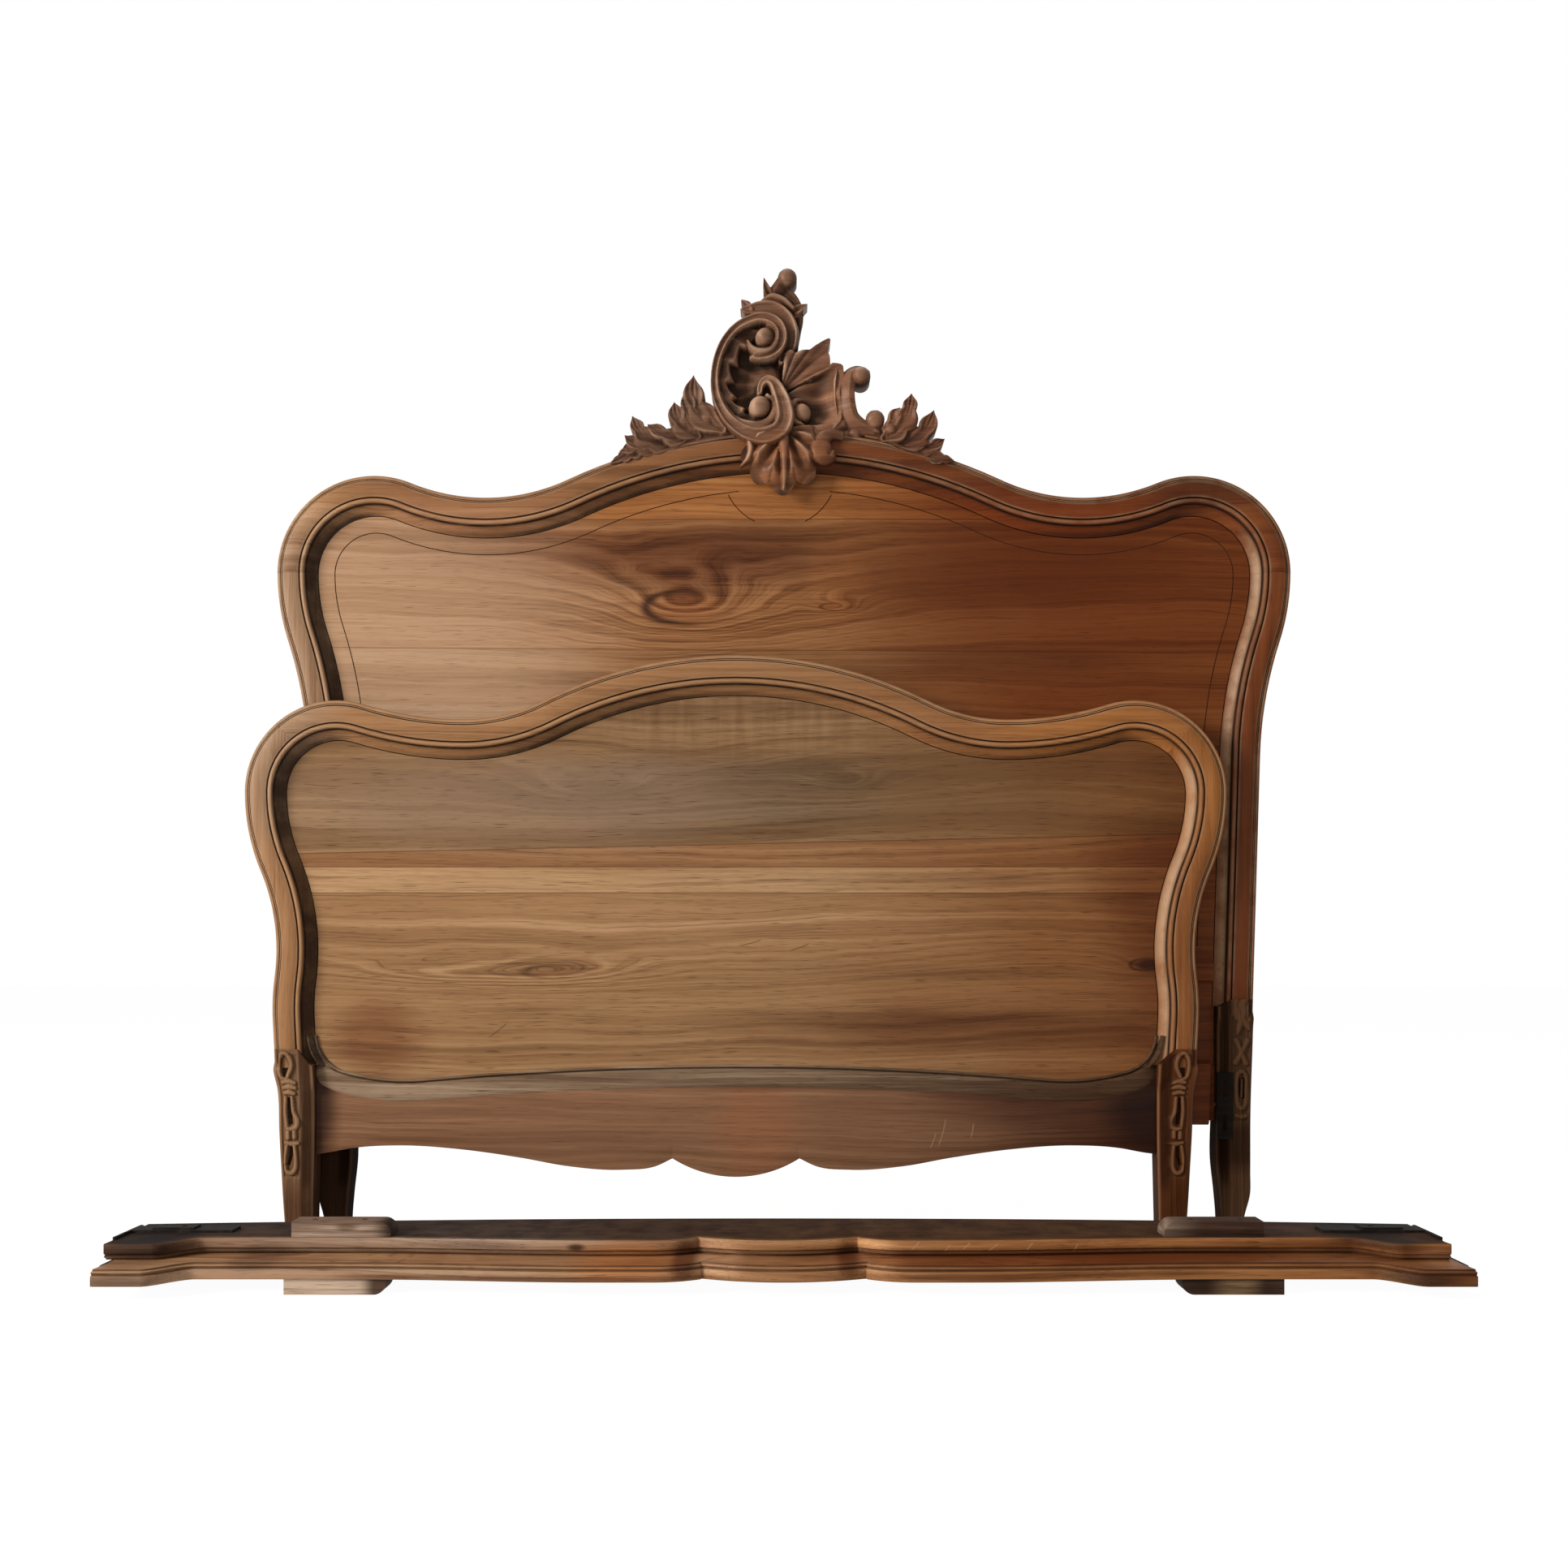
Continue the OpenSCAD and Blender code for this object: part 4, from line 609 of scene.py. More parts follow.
apron_wood = walnut(
    "apron_walnut", (0.120, 0.054, 0.027), (0.250, 0.120, 0.060), (0.36, 0.195, 0.105), ring=0.010,
    warp=0.035, streaks=(0.50, 0.66, (0.50, 0.42, 0.40), 0.5),
    side=((0.24, 0.145, 0.105), -0.05, 0.60, 0.96),
    haze=((-0.20, 0.19, 0.60, 0.12, 0.6, (0.215, 0.105, 0.055), 0.35),), scratch_tone=(0.36, 0.22, 0.14),
    patches=(
        # These three patches are painted shadows: a dark strip under the band, and dark strips beside the
        # left and the right leg.
        (0.0, 0.262, 1.2, 0.018, 0.3, (0.45, 0.36, 0.33), 0.8),
        (-0.755, 0.22, 0.050, 0.14, 0.3, (0.16, 0.13, 0.12), 0.95),
        (0.605, 0.22, 0.110, 0.14, 0.3, (0.20, 0.16, 0.15), 0.9),
        (0.36, 0.24, 0.20, 0.06, 0.7, (0.62, 0.50, 0.48), 0.8),
        (-0.04, 0.19, 0.10, 0.12, 0.7, (1.30, 0.98, 0.78), 0.6)),
    scratches=(
        (0.262, 0.180, 0.026, 75), (0.247, 0.168, 0.016, 70), (0.31, 0.183, 0.014, 80)))
string_wood = walnut(
    "string_inlay", (0.020, 0.008, 0.004), (0.04, 0.016, 0.008), (0.06, 0.026, 0.013), rough=0.9, gloss=0.0)
crest_wood = walnut(
    "crest_walnut", (0.060, 0.025, 0.013), (0.145, 0.066, 0.035), (0.27, 0.140, 0.078), ring=0.014,
    rough=0.42, gloss=0.14, side=((0.85, 0.64, 0.48), -0.1, 0.3, 0.8), worn=0.75,
    worn_tone=(0.46, 0.28, 0.18), dirt=0.86,
    patches=(
        (0.0, 1.265, 0.15, 0.075, 0.2, (1.75, 1.45, 1.05), 0.9),
        (0.07, 1.40, 0.08, 0.10, 0.3, (1.30, 1.28, 1.25), 0.9),
        (-0.20, 1.37, 0.12, 0.09, 0.3, (0.62, 0.60, 0.60), 0.8),
        (0.26, 1.34, 0.10, 0.07, 0.3, (0.72, 0.64, 0.60), 0.8)))
hidden_wood = walnut(
    "bare_walnut", (0.10, 0.055, 0.03), (0.22, 0.13, 0.075), (0.34, 0.22, 0.13), rough=0.7)
block_wood = walnut(
    "block_walnut", (0.14, 0.095, 0.065), (0.34, 0.235, 0.165), (0.56, 0.43, 0.32), ring=0.006, rough=0.7,
    pore=0.9, streaks=(0.42, 0.56, (0.30, 0.24, 0.21), 0.85),
    # Most of these patches are painted light and shade: the pale ones where light falls on the blocks, the
    # near-black ones where they lie in shade.
    patches=(
        (-0.538, 0.08, 0.052, 0.07, 0.2, (0.10, 0.08, 0.07), 0.97),
        (-0.660, 0.075, 0.12, 0.03, 0.3, (1.45, 1.50, 1.55), 0.9),
        (-0.680, 0.010, 0.16, 0.03, 0.3, (1.30, 1.30, 1.30), 0.9),
        (-0.620, 0.082, 0.025, 0.008, 0.9, (0.40, 0.34, 0.30), 0.9),
        (0.512, 0.080, 0.022, 0.03, 0.3, (2.2, 2.3, 2.4), 0.9),
        (0.650, 0.08, 0.150, 0.07, 0.2, (0.15, 0.10, 0.085), 0.97),
        (-0.552, 0.01, 0.035, 0.07, 0.4, (0.14, 0.10, 0.08), 0.95),
        (-0.740, 0.01, 0.030, 0.012, 0.9, (0.40, 0.34, 0.30), 0.9),
        (0.57, 0.01, 0.06, 0.07, 0.9, (0.14, 0.10, 0.09), 0.95),
        (0.69, 0.01, 0.05, 0.07, 0.9, (0.14, 0.10, 0.09), 0.95),
        (0.62, 0.01, 0.09, 0.07, 0.9, (0.60, 0.50, 0.34), 0.9)))
rail_wood = walnut(
    "rail_walnut", (0.15, 0.068, 0.031), (0.32, 0.162, 0.076), (0.48, 0.28, 0.140), ring=0.008, rough=0.5,
    stain=1.0, pore=0.7, side=((0.84, 0.60, 0.38), -0.3, 0.5, 0.9),
    streaks=(0.46, 0.62, (0.40, 0.30, 0.27), 0.75), stain_tint=(0.06, 0.055, 0.065),
    scratch_tone=(0.55, 0.34, 0.18),
    # Some of these patches are painted light and shade: the pale and the dark patch beside each cusp of the
    # middle lobe paint a lit and a shaded face, and the long pale bluish strips along the rails are a painted
    # sheen.
    patches=(
        (0.34, 0.062, 0.52, 0.018, 0.5, (1.75, 1.95, 2.0), 0.9),
        (-0.55, 0.062, 0.48, 0.018, 0.6, (1.10, 1.40, 2.0), 0.9),
        (-0.62, 0.030, 0.50, 0.014, 0.5, (1.05, 1.22, 1.55), 0.85),
        (0.45, 0.030, 0.60, 0.014, 0.5, (1.35, 1.55, 1.65), 0.8),
        (-0.73, 0.048, 0.05, 0.02, 0.9, (0.50, 0.46, 0.48), 0.7),
        (-0.43, 0.060, 0.10, 0.008, 0.9, (0.55, 0.52, 0.55), 0.7),
        (-0.56, 0.026, 0.08, 0.006, 0.9, (0.55, 0.48, 0.46), 0.7),
        (-0.22, 0.045, 0.11, 0.03, 0.6, (1.15, 0.85, 0.58), 0.8),
        (-0.90, 0.060, 0.11, 0.020, 0.4, (0.16, 0.14, 0.15), 0.97),
        (-0.90, 0.028, 0.07, 0.012, 0.4, (0.36, 0.36, 0.40), 0.9),
        (0.87, 0.030, 0.09, 0.014, 0.4, (0.30, 0.32, 0.38), 0.95),
        (0.84, 0.064, 0.09, 0.010, 0.4, (0.25, 0.24, 0.26), 0.95),
        (-0.085, 0.045, 0.045, 0.03, 0.3, (1.45, 1.60, 1.85), 0.9),
        (0.135, 0.045, 0.045, 0.03, 0.3, (1.45, 1.60, 1.85), 0.9),
        (-0.135, 0.045, 0.025, 0.03, 0.6, (0.38, 0.28, 0.24), 0.9),
        (0.095, 0.045, 0.025, 0.03, 0.6, (0.38, 0.28, 0.24), 0.9),
        (-0.289, 0.058, 0.020, 0.008, 0.9, (0.14, 0.11, 0.10), 0.9),
        (0.912, 0.052, 0.040, 0.012, 0.2, (1.7, 2.1, 2.8), 0.9),
        (0.33, 0.030, 0.40, 0.007, 0.9, (0.40, 0.30, 0.25), 0.8),
        (-0.33, 0.026, 0.35, 0.006, 0.9, (0.40, 0.30, 0.25), 0.8),
        (0.40, 0.046, 0.45, 0.006, 0.6, (0.86, 0.62, 0.44), 0.8)),
    scratches=(
        (0.262, 0.060, 0.008, 40), (0.300, 0.058, 0.010, 35), (0.352, 0.059, 0.008, 50),
        (0.418, 0.056, 0.007, 60), (0.19, 0.060, 0.009, 45), (0.235, 0.057, 0.007, 50)))
sooty_iron = walnut(
    "stained_iron", (0.006, 0.005, 0.004), (0.012, 0.009, 0.007), (0.020, 0.015, 0.011), rough=0.75,
    gloss=0.05)


def make_iron():
    """Hand-forged iron, nearly black, with rust where it is rough."""
    material, wires, shader = start_material("forged_iron")
    coordinates = wires.coordinates()
    rust = wires.noise(coordinates, 60.0, 5.0, 0.65).spread(0.45, 0.7)
    colour = wires.mix(rust, (0.012, 0.011, 0.010, 1), (0.035, 0.024, 0.018, 1))
    wires.feed(shader.inputs["Base Color"], colour)
    wires.feed(shader.inputs["Roughness"], rust.spread(0, 1, 0.75, 0.95))
    shader.inputs["Specular IOR Level"].default_value = 0.08
    wires.feed(shader.inputs["Metallic"], rust.spread(0, 1, 0.12, 0.0))
    wires.bump(shader, wires.noise(coordinates, 180.0, 4.0), 0.35, 0.0008)
    return material


iron = make_iron()

# The finish of a node is the first whose word is in its name. What replaces a node is made later.
FINISHES = [
    ("keeper", sooty_iron), ("hook", iron), ("screw", iron), ("_pegs", hidden_wood), ("_dowels", hidden_wood),
    ("headboard_panel", head_panel), ("footboard_panel", foot_panel), ("crest", crest_wood),
    ("block", block_wood), ("rail_board", rail_wood), ("headboard_left_post", head_upright),
    ("headboard_right_post", head_upright), ("footboard_left_post", foot_upright),
    ("footboard_right_post", foot_upright), ("headboard", head_level), ("footboard", foot_level),
]
for name, node in nodes.items():
    node.data.materials.clear()
    node.data.materials.append(next(finish for word, finish in FINISHES if word in name))

# Moulded frames of the two boards


def sum_of_radii(across, rise):
    return (across * across + rise * rise) / (2 * abs(rise))


def swing(radii, rise):
    return math.degrees(math.acos(1 - abs(rise) / radii))


def top_line(width, crown_z, dip_z, dip_x, shoulder_z, shoulder_r, dip_r, last_turn):
    """A board's outer edge as arcs, from the middle of its crown over the dip to its shoulder."""
    crown = sum_of_radii(dip_x, crown_z - dip_z)
    side = sum_of_radii(width / 2 - shoulder_r - dip_x, shoulder_z - dip_z)
    fall = swing(crown, crown_z - dip_z)
    rise = swing(side, shoulder_z - dip_z)
    return run_line((0, crown_z, 0), [(crown - dip_r, fall), (dip_r, -fall), (side - shoulder_r, -rise),
                                      (shoulder_r, rise + last_turn)])


def flank_turn(flank_r, waist_r, waist_in, lean=0.0):
    """Turn of a flank that is followed by a waist, which lies waist_in further in and ends at a lean."""
    across = flank_r + waist_r * math.cos(math.radians(lean)) - waist_in
    return math.degrees(math.acos(across / (flank_r + waist_r)))


def post_line(start, curves, end_z):
    """A post's outer edge: curves from the joint, then a straight stretch down to a height."""
    x, z, heading = run_line(start, curves)[-1]
    return run_line(start, curves + [((z - end_z) / -math.sin(math.radians(heading)), 0)])


HEAD_FLANK_R, HEAD_WAIST_R = 370, 680
POST_LEAN = 1.7
head_top = top_line(width=1671, crown_z=1331, dip_z=1222, dip_x=492, shoulder_z=1258, shoulder_r=160,
                    dip_r=320, last_turn=90)
turned = flank_turn(HEAD_FLANK_R, HEAD_WAIST_R, 50, POST_LEAN)
head_post = post_line(head_top[-1], [(HEAD_FLANK_R, turned), (HEAD_WAIST_R, POST_LEAN - turned)],
                      HEAD_LEG_Z - 14)

FOOT_SHOULDER_R = 149
FOOT_SHOULDER_Z = 285
JOINT_TURN = 41
FOOT_FLANK_R = FOOT_WAIST_R = 329
KNEE_R = 410
KNEE_OUT = 7.5
LEG_LEAN = 3
foot_top = top_line(width=1588, crown_z=953, dip_z=849, dip_x=440, shoulder_z=880, shoulder_r=FOOT_SHOULDER_R,
                    dip_r=283, last_turn=JOINT_TURN)
turned = flank_turn(FOOT_FLANK_R, FOOT_WAIST_R, 51)
foot_post = post_line(foot_top[-1], [
    (FOOT_SHOULDER_R, 90 - JOINT_TURN), (FOOT_FLANK_R, turned), (FOOT_WAIST_R, -turned - KNEE_OUT),
    (KNEE_R, KNEE_OUT + LEG_LEAN)], FOOT_SHOULDER_Z)


def moulding_section():
    """The frame's section: outer bead, fine fillet between two sunk lines, cushioned band, sunk
    line, inner bead, and a broad bevel down to the panel."""
    top = FRAME_T
    parts = [
        [(0, 0), (0, top - 9)],
        bow(3.4, top - 8.0, 3.4, 180, 55, 7),
        [(5.8, top - 7.2), (6.1, top - 7.0)],
        bow(7.4, top - 5.9, 1.0, 200, -10, 5),
        [(8.9, top - 7.2), (9.4, top - 7.0), (9.6, top - 3.6)],
        bow(22.6, top - 38.5, 38.5, 109.5, 70.5, 13),
        [(35.8, top - 3.6), (36.1, top - 6.6), (37.0, top - 6.8)],
        bow(41.6, top - 5.4, 4.2, 170, 10, 9),
        [(46.2, top - 6.2), (46.7, top - 9.0)],
        [(47.2, top - 8.2), (49.0, top - 9.6), (52.0, top - 12.0), (56.0, top - 15.3), (60.0, top - 18.4),
         (62.6, top - 20.0), (64.0, top - 20.0), (66, top - 20.6), (66, 0)],
    ]
    return np.concatenate([np.asarray(p, float) for p in parts])


def moulding_wear(section):
    """How hollow and how proud each point of a section is, against its neighbours within reach."""
    hollow_reach, proud_reach = 2.2, 3.5
    flat_away = np.abs(section[:, None, 0] - section[None, :, 0])
    crest = np.where(flat_away < hollow_reach, section[None, :, 1], -np.inf).max(1)
    away = np.hypot(*(section[:, None] - section[None]).transpose(2, 0, 1))
    near = np.clip(1 - away / proud_reach, 0, 1)
    mean = (near * section[None, :, 1]).sum(1) / near.sum(1)
    hollow = np.clip((crest - section[:, 1]) / 3.0 - 0.1, 0, 1)
    worn = np.clip((section[:, 1] - mean) / 0.7, 0, 1)
    hollow[:2] = hollow[-2:] = worn[-7:] = 0
    return hollow, worn


MOULDING = moulding_section()
HOLLOW, WORN = moulding_wear(MOULDING)
OUTER_BEAD = slice(2, 34)
BEVEL = slice(-9, -3)
# Strips of the bevel that take the painted shade on level parts, and the painted highlight.
LOWER_STRIP = between(59 - MOULDING[BEVEL, 0], 0, 4)
HIGHLIGHT_STRIP = between(64 - MOULDING[BEVEL, 0], -4, 12)
TOP_LIGHT = 0.62
JOINT_LINE = 0.05


def moulded(name, place, line, material, replaces=()):
    """A moulding along the line. Its two ends are dark for a millimetre, which draws the joints.

    The bevel is darkened with painted shade where it faces away from the window at the left, and paled
    with a painted highlight where it faces it. On level parts only its lower strip is dark.
    """
    grid = carried(line, *MOULDING.T)
    first = grid[:1] + (grid[1:2] - grid[:1]) * JOINT_LINE
    last = grid[-1:] + (grid[-2:-1] - grid[-1:]) * JOINT_LINE
    grid = np.concatenate([grid[:1], first, grid[1:-1], last, grid[-1:]])
    hollow, worn = np.tile(HOLLOW, (len(grid), 1)), np.tile(WORN, (len(grid), 1))
    inward = (grid[:, -1, :2] - grid[:, 0, :2]) / FRAME_W
    lit = (TOP_LIGHT * inward[:, 1] - inward[:, 0])[:, None]
    level = (1 - np.abs(inward[:, 0]))[:, None]
    # Painted shade on the bevel where it faces away from the window, and a painted highlight where it faces
    # it.
    hollow[:, BEVEL] = np.maximum(0.95 * between(-lit, 0.1, 0.95) * (1 - level * LOWER_STRIP), HOLLOW[BEVEL])
    worn[:, BEVEL] = between(lit, 0.2, 0.8) * HIGHLIGHT_STRIP
    hollow[[0, -1]] = 0.9
    carried_piece(name, place, grid, material, 40, {"hollow": hollow, "worn": worn}, replaces)


for name, place, level, upright, top, post in (
        ("headboard", HEAD, head_level, head_upright, head_top, head_post),
        ("footboard", FOOT, foot_level, foot_upright, foot_top, foot_post)):
    moulded(f"{name}_top_moulding", place, both_sides(top), level, [f"{name}_top_rail"])
    moulded(f"{name}_left_moulding", place, mirrored(post), upright)
    moulded(f"{name}_right_moulding", place, post, upright)

# Legs

LEG_T = 45
LEG_W = 60


def edge_x(station, z):
    """x of a leaning edge at a height, on the straight line through a station."""
    return station[0] - (station[1] - z) * math.tan(math.radians(-90 - station[2]))


def strand(u, z, knots, rise, wider=1.0):
    """Height of a carved strand: rise * sqrt(1 - (d / w)^2), d from the smooth curve through the knots
    (u, z, half width w)."""
    line = smooth_curve(knots, 7)
    d = np.hypot(u[..., None] - line[:, 0], z[..., None] - line[:, 1]) / (line[:, 2] * wider)
    return rise * np.sqrt(np.clip(1 - d.min(-1) ** 2, 0, 1))


FOOT_RIMS = [
    [(19, 267, 3), (11, 272, 3), (9, 287, 3), (11, 302, 3.2), (18, 310, 3.4), (26, 303, 3.4), (28, 288, 3.4),
     (21, 272, 3)],
    [(13, 263, 3.4), (22, 265, 4), (31, 262, 3)],
    [(12, 254, 3), (22, 256, 4.2), (31, 254, 3)],
    [(13, 246, 3), (21, 247, 3.8), (29, 245, 3)],
    [(14, 238, 3), (12.5, 216, 3.2), (15, 193, 3)],
    [(25, 238, 3), (27, 216, 3.4), (33, 203, 3.8), (32, 192, 4), (24, 188, 3.4), (16, 189, 2.6)],
    [(17, 182, 3.6), (17, 174, 4)],
    [(28, 183, 3.6), (28, 175, 4)],
    [(12, 166, 2.6), (24, 164, 3.6), (35, 165, 2.6)],
    [(28, 160, 3.2), (30, 142, 3.6), (29, 125, 4), (21, 117, 3.8), (12, 120, 3.2), (10, 128, 2.4)],
    [(14, 160, 2.8), (11, 146, 3), (9.5, 132, 2.4)],
]
FOOT_HOLES = [
    [(16, 298, 4), (17.5, 288, 5), (17, 277, 3.6), (15, 270, 2)],
    [(19, 236, 3), (19.5, 216, 4.2), (21, 198, 4)],
    [(21, 157, 3), (20, 145, 3.6), (15.5, 131, 3)],
]
HEAD_RIMS = [
    [(6, 420, 4), (16, 412, 6), (28, 402, 6), (33, 386, 6), (27, 368, 7), (14, 356, 6), (7, 346, 3)],
    [(12, 398, 4), (20, 388, 6), (18, 372, 6), (24, 352, 5), (28, 338, 2)],
    [(8, 388, 4), (9, 374, 5), (7, 360, 3)],
    [(29, 327, 4.4), (21, 309, 3.6), (12, 290, 4.6)],
    [(10, 327, 4.4), (19, 309, 3.6), (30, 291, 4.6)],
    [(17, 277, 3.2), (26, 272, 3.6), (28, 250, 3.6), (25, 224, 4), (17, 216, 4), (10, 226, 3.6),
     (10, 250, 3.2), (11, 268, 3), (17, 277, 3)],
    [(18, 262, 1.8), (18, 236, 1.8)],
    [(8, 204, 3), (17, 202, 4), (27, 204, 3)],
]
HEAD_HOLES = [[(15, 264, 2.4), (14.5, 250, 3), (15, 234, 2.6)], [(22, 264, 2), (22, 250, 2.4), (22, 236, 2)]]
RIM_RISE = 4.6
RIM_WIDER = 1.25
STRIP_DEPTH = 1.6
HOLE_DEPTH = 4.5


def carved_chain(u, z, rims, holes, low_z, high_z):
    """Heights of a carved chain of loops and knots on a strip that is sunk a little, where it is
    dark, and where its proud parts wear pale."""
    u, z = np.broadcast_arrays(u, z)
    strip = between(u, 5.0, 7.5) * (1 - between(u, 35.0, 38.0))
    strip = strip * between(z, low_z - 3, low_z) * (1 - between(z, high_z, high_z + 3))
    raised = np.max([strand(u, z, knots, RIM_RISE, RIM_WIDER) for knots in rims], axis=0)
    raised = raised * between(u, 3.5, 8.0)
    sunk = np.max([strand(u, z, knots, 1.0) for knots in holes], axis=0)
    height = -STRIP_DEPTH * strip + np.where(raised > 0.2, raised, -HOLE_DEPTH * sunk)
    edges = strip * np.clip(1 - np.abs(raised - 0.9) / 1.4, 0, 1) * (0.35 + 0.4 * between(u, 12, 26))
    dark = np.clip(np.where(raised > 2.2, 0.0, edges + 1.2 * sunk), 0, 1)
    return height, dark, np.clip((raised - 3.0) / 1.4, 0, 1)


SHADED_U = (33, 44)
BEAD_LENGTH = (18, 34)
HEAD_DROP = 12
FOOT_DROP = 26
RIGHT_SHIFT = 5.0


def leg_grid(outer, inner, drop, carving, shift=0.0):
    """A leg as rings from the post down to the foot, with its top cut aslant by drop towards the inside.

    u runs inward over the front, in millimetres from the outer edge, and the chain is carved shift further
    in. The frame's outer bead runs out over the first 34 mm. Returns the grid and its marks.
    """
    top_z = outer[0][0]
    u = np.concatenate([[0, 0.8, 2.0, 3.4], np.linspace(5, 39, 60), [42, 46, 51, 55, 57.6, 59.2, LEG_W]])
    z = np.concatenate([np.linspace(top_z, 112, 330), np.linspace(109, 0, 40)])[:, None]
    fallen = top_z - z
    x_out = along_knots(outer, z)
    x_in = along_knots(inner, z)
    edge_round = 3.0 * (np.clip(1 - u / 5, 0, 1) ** 2 + np.clip(1 - (LEG_W - u) / 4, 0, 1) ** 2)
    below = between(fallen, drop + 6, drop + 40)
    facet = (0.052 * np.clip(38 - u, 0, None) + 0.24 * np.clip(u - 38, 0, None)) * below
    field, dark, proud = carved_chain(u - shift, z, *carving)
    front = LEG_T - edge_round * (0.3 + 0.7 * below) - facet + field
    bead = np.interp(u, *MOULDING[OUTER_BEAD].T) + 1.0
    share = (1 - between(u, 9.6, 11.0)) * (1 - between(fallen, *BEAD_LENGTH))
    front = front * (1 - share) + bead * share - 2.5 * between(100 - z, 0, 90)
    grid = np.empty((z.size, u.size + 4, 3))
    grid[:, 2:-2, 0] = x_out - u / LEG_W * (x_out - x_in)
    grid[:, 2:-2, 2] = front
    grid[:, :2, 0] = x_out
    grid[:, -2:, 0] = x_in
    grid[:, (0, -1), 2] = 0
    grid[:, (1, -2), 2] = 34
    fall = drop * np.clip((np.concatenate([[0, 0], u, [LEG_W, LEG_W]]) - 37) / 21, 0, 1)
    grid[..., 1] = z - fall * (1 - between(fallen, 0, 4 * drop + 1))
    marks = {label: np.zeros(grid.shape[:2]) for label in ("hollow", "worn", "stain")}
    marks["hollow"][:, 2:-2] = dark
    arrises = 0.7 * np.exp(-((u - 1.6) / 1.5) ** 2) + np.exp(-((u - 58.8) / 1.3) ** 2)
    marks["worn"][:, 2:-2] = np.maximum(proud, arrises)
    shaded = between(u, *SHADED_U) * (1 - between(u, 56.5, 58))
    marks["stain"][:, 2:-2] = shaded * (1 - 0.6 * between(112 - z, 0, 40))
    marks["stain"][:, -2:] = 1.0
    back = grid[:1] * (1, 1, 0)
    marks = {label: np.concatenate([values[:1], values]) for label, values in marks.items()}
    return np.concatenate([back, grid]), marks


def leg_pair(board, place, wood, left, right):
    """Both legs of a board. The left one is the mirror image of its grid, with the rings reversed."""
    grid, marks = left
    left = grid[:, ::-1] * (-1, 1, 1), {label: values[:, ::-1] for label, values in marks.items()}
    for side, (grid, marks) in (("left", left), ("right", right)):
        carried_piece(f"{board}_{side}_leg", place, grid, wood, 50, marks,
                      [f"{board}_{side}_post"])


def edge_knots(post, levels, offset, *knots):
    """Knots (z, x) of a leg's edge: beside a post's straight edge at some levels, then free ones."""
    return [(z, edge_x(post[-1], z) - offset) for z in levels] + list(knots)


outer = edge_knots(head_post, (HEAD_LEG_Z, 330, 200), 0, (110, 767.5), (72, 767), (40, 759), (0, 752))
inner = edge_knots(head_post, (HEAD_LEG_Z,), 60) + edge_knots(
    head_post, (330,), 58, (200, 713), (130, 712), (72, 718), (36, 721), (0, 722))
leg = leg_grid(outer, inner, HEAD_DROP, (HEAD_RIMS, HEAD_HOLES, 196, 430))
leg_pair("headboard", HEAD, shaded_head_leg_wood, leg, leg)

outer = edge_knots(foot_post, (FOOT_LEG_Z, 283), 0, (248, 739), (182, 736.5), (110, 732.5), (45, 729),
                   (0, 726))
inner = edge_knots(foot_post, (FOOT_LEG_Z,), 64, (283, 681), (248, 681), (182, 681), (110, 682.5), (45, 684),
                   (0, 685))
chain = (FOOT_RIMS, FOOT_HOLES, 112, 306)
leg_pair("footboard", FOOT, foot_leg_wood, leg_grid(outer, inner, FOOT_DROP, chain),
         leg_grid(outer, inner, FOOT_DROP, chain, RIGHT_SHIFT))

# Band and apron of the footboard

BAND_Z = 290
BAND_FALL = 24
BAND_HALF = edge_x(foot_post[-1], BAND_Z) - FRAME_W
BAND_RISE_R = 357
BAND_RISE_TURN = 16
BAND_CORNER_TURN = 72
BAND_END = 667
BAND_MIDDLE = 21.8
band_radii = sum_of_radii(BAND_HALF * 0.79, BAND_FALL)
band_turn = swing(band_radii, BAND_FALL)
band_line = both_sides(run_line((0, BAND_Z, 0), [
    (band_radii - BAND_RISE_R, band_turn), (BAND_RISE_R, -band_turn - BAND_RISE_TURN),
    (BAND_HALF * 0.092, -BAND_CORNER_TURN)], 1.0))


def make_fillet():
    """The band's fillet runs up both corners to the posts, where it backs on a steep wall."""
    fillet = bow(2.2, PANEL_FRONT + 2.6, 1.8, 170, 20, 6)
    across = np.array([0, 0, *fillet[:, 0], 4.6, 6.0, 9.0, 12.0, 14.0, 14.0])
    height = PANEL_FRONT + np.array([-PANEL_FRONT, 1.5, *(fillet[:, 1] - PANEL_FRONT), 1.0, -0.5, -1.0, -1.0,
                                     -1.0, -PANEL_FRONT])
    wall = np.where(across > 5, (np.clip(across, 5, 12) - 5) / 7.0, 0) ** 2 * 12.0 * (height > 0)
    x = band_line[:, :1]
    grid = carried(band_line, across, height + wall * between(np.abs(x), BAND_END - 12, BAND_END + 6))
    # The ground beside the fillet is darkened a little, and its left end much more: painted shade, away from
    # the window.
    shaded = between(-x, BAND_END - 20, BAND_END) * 0.85
    marks = {"hollow": np.maximum(np.where(across > 4.5, 0.35, 0.0), shaded)}
    carried_piece("footboard_band_fillet", FOOT, grid, band_wood, 40, marks)


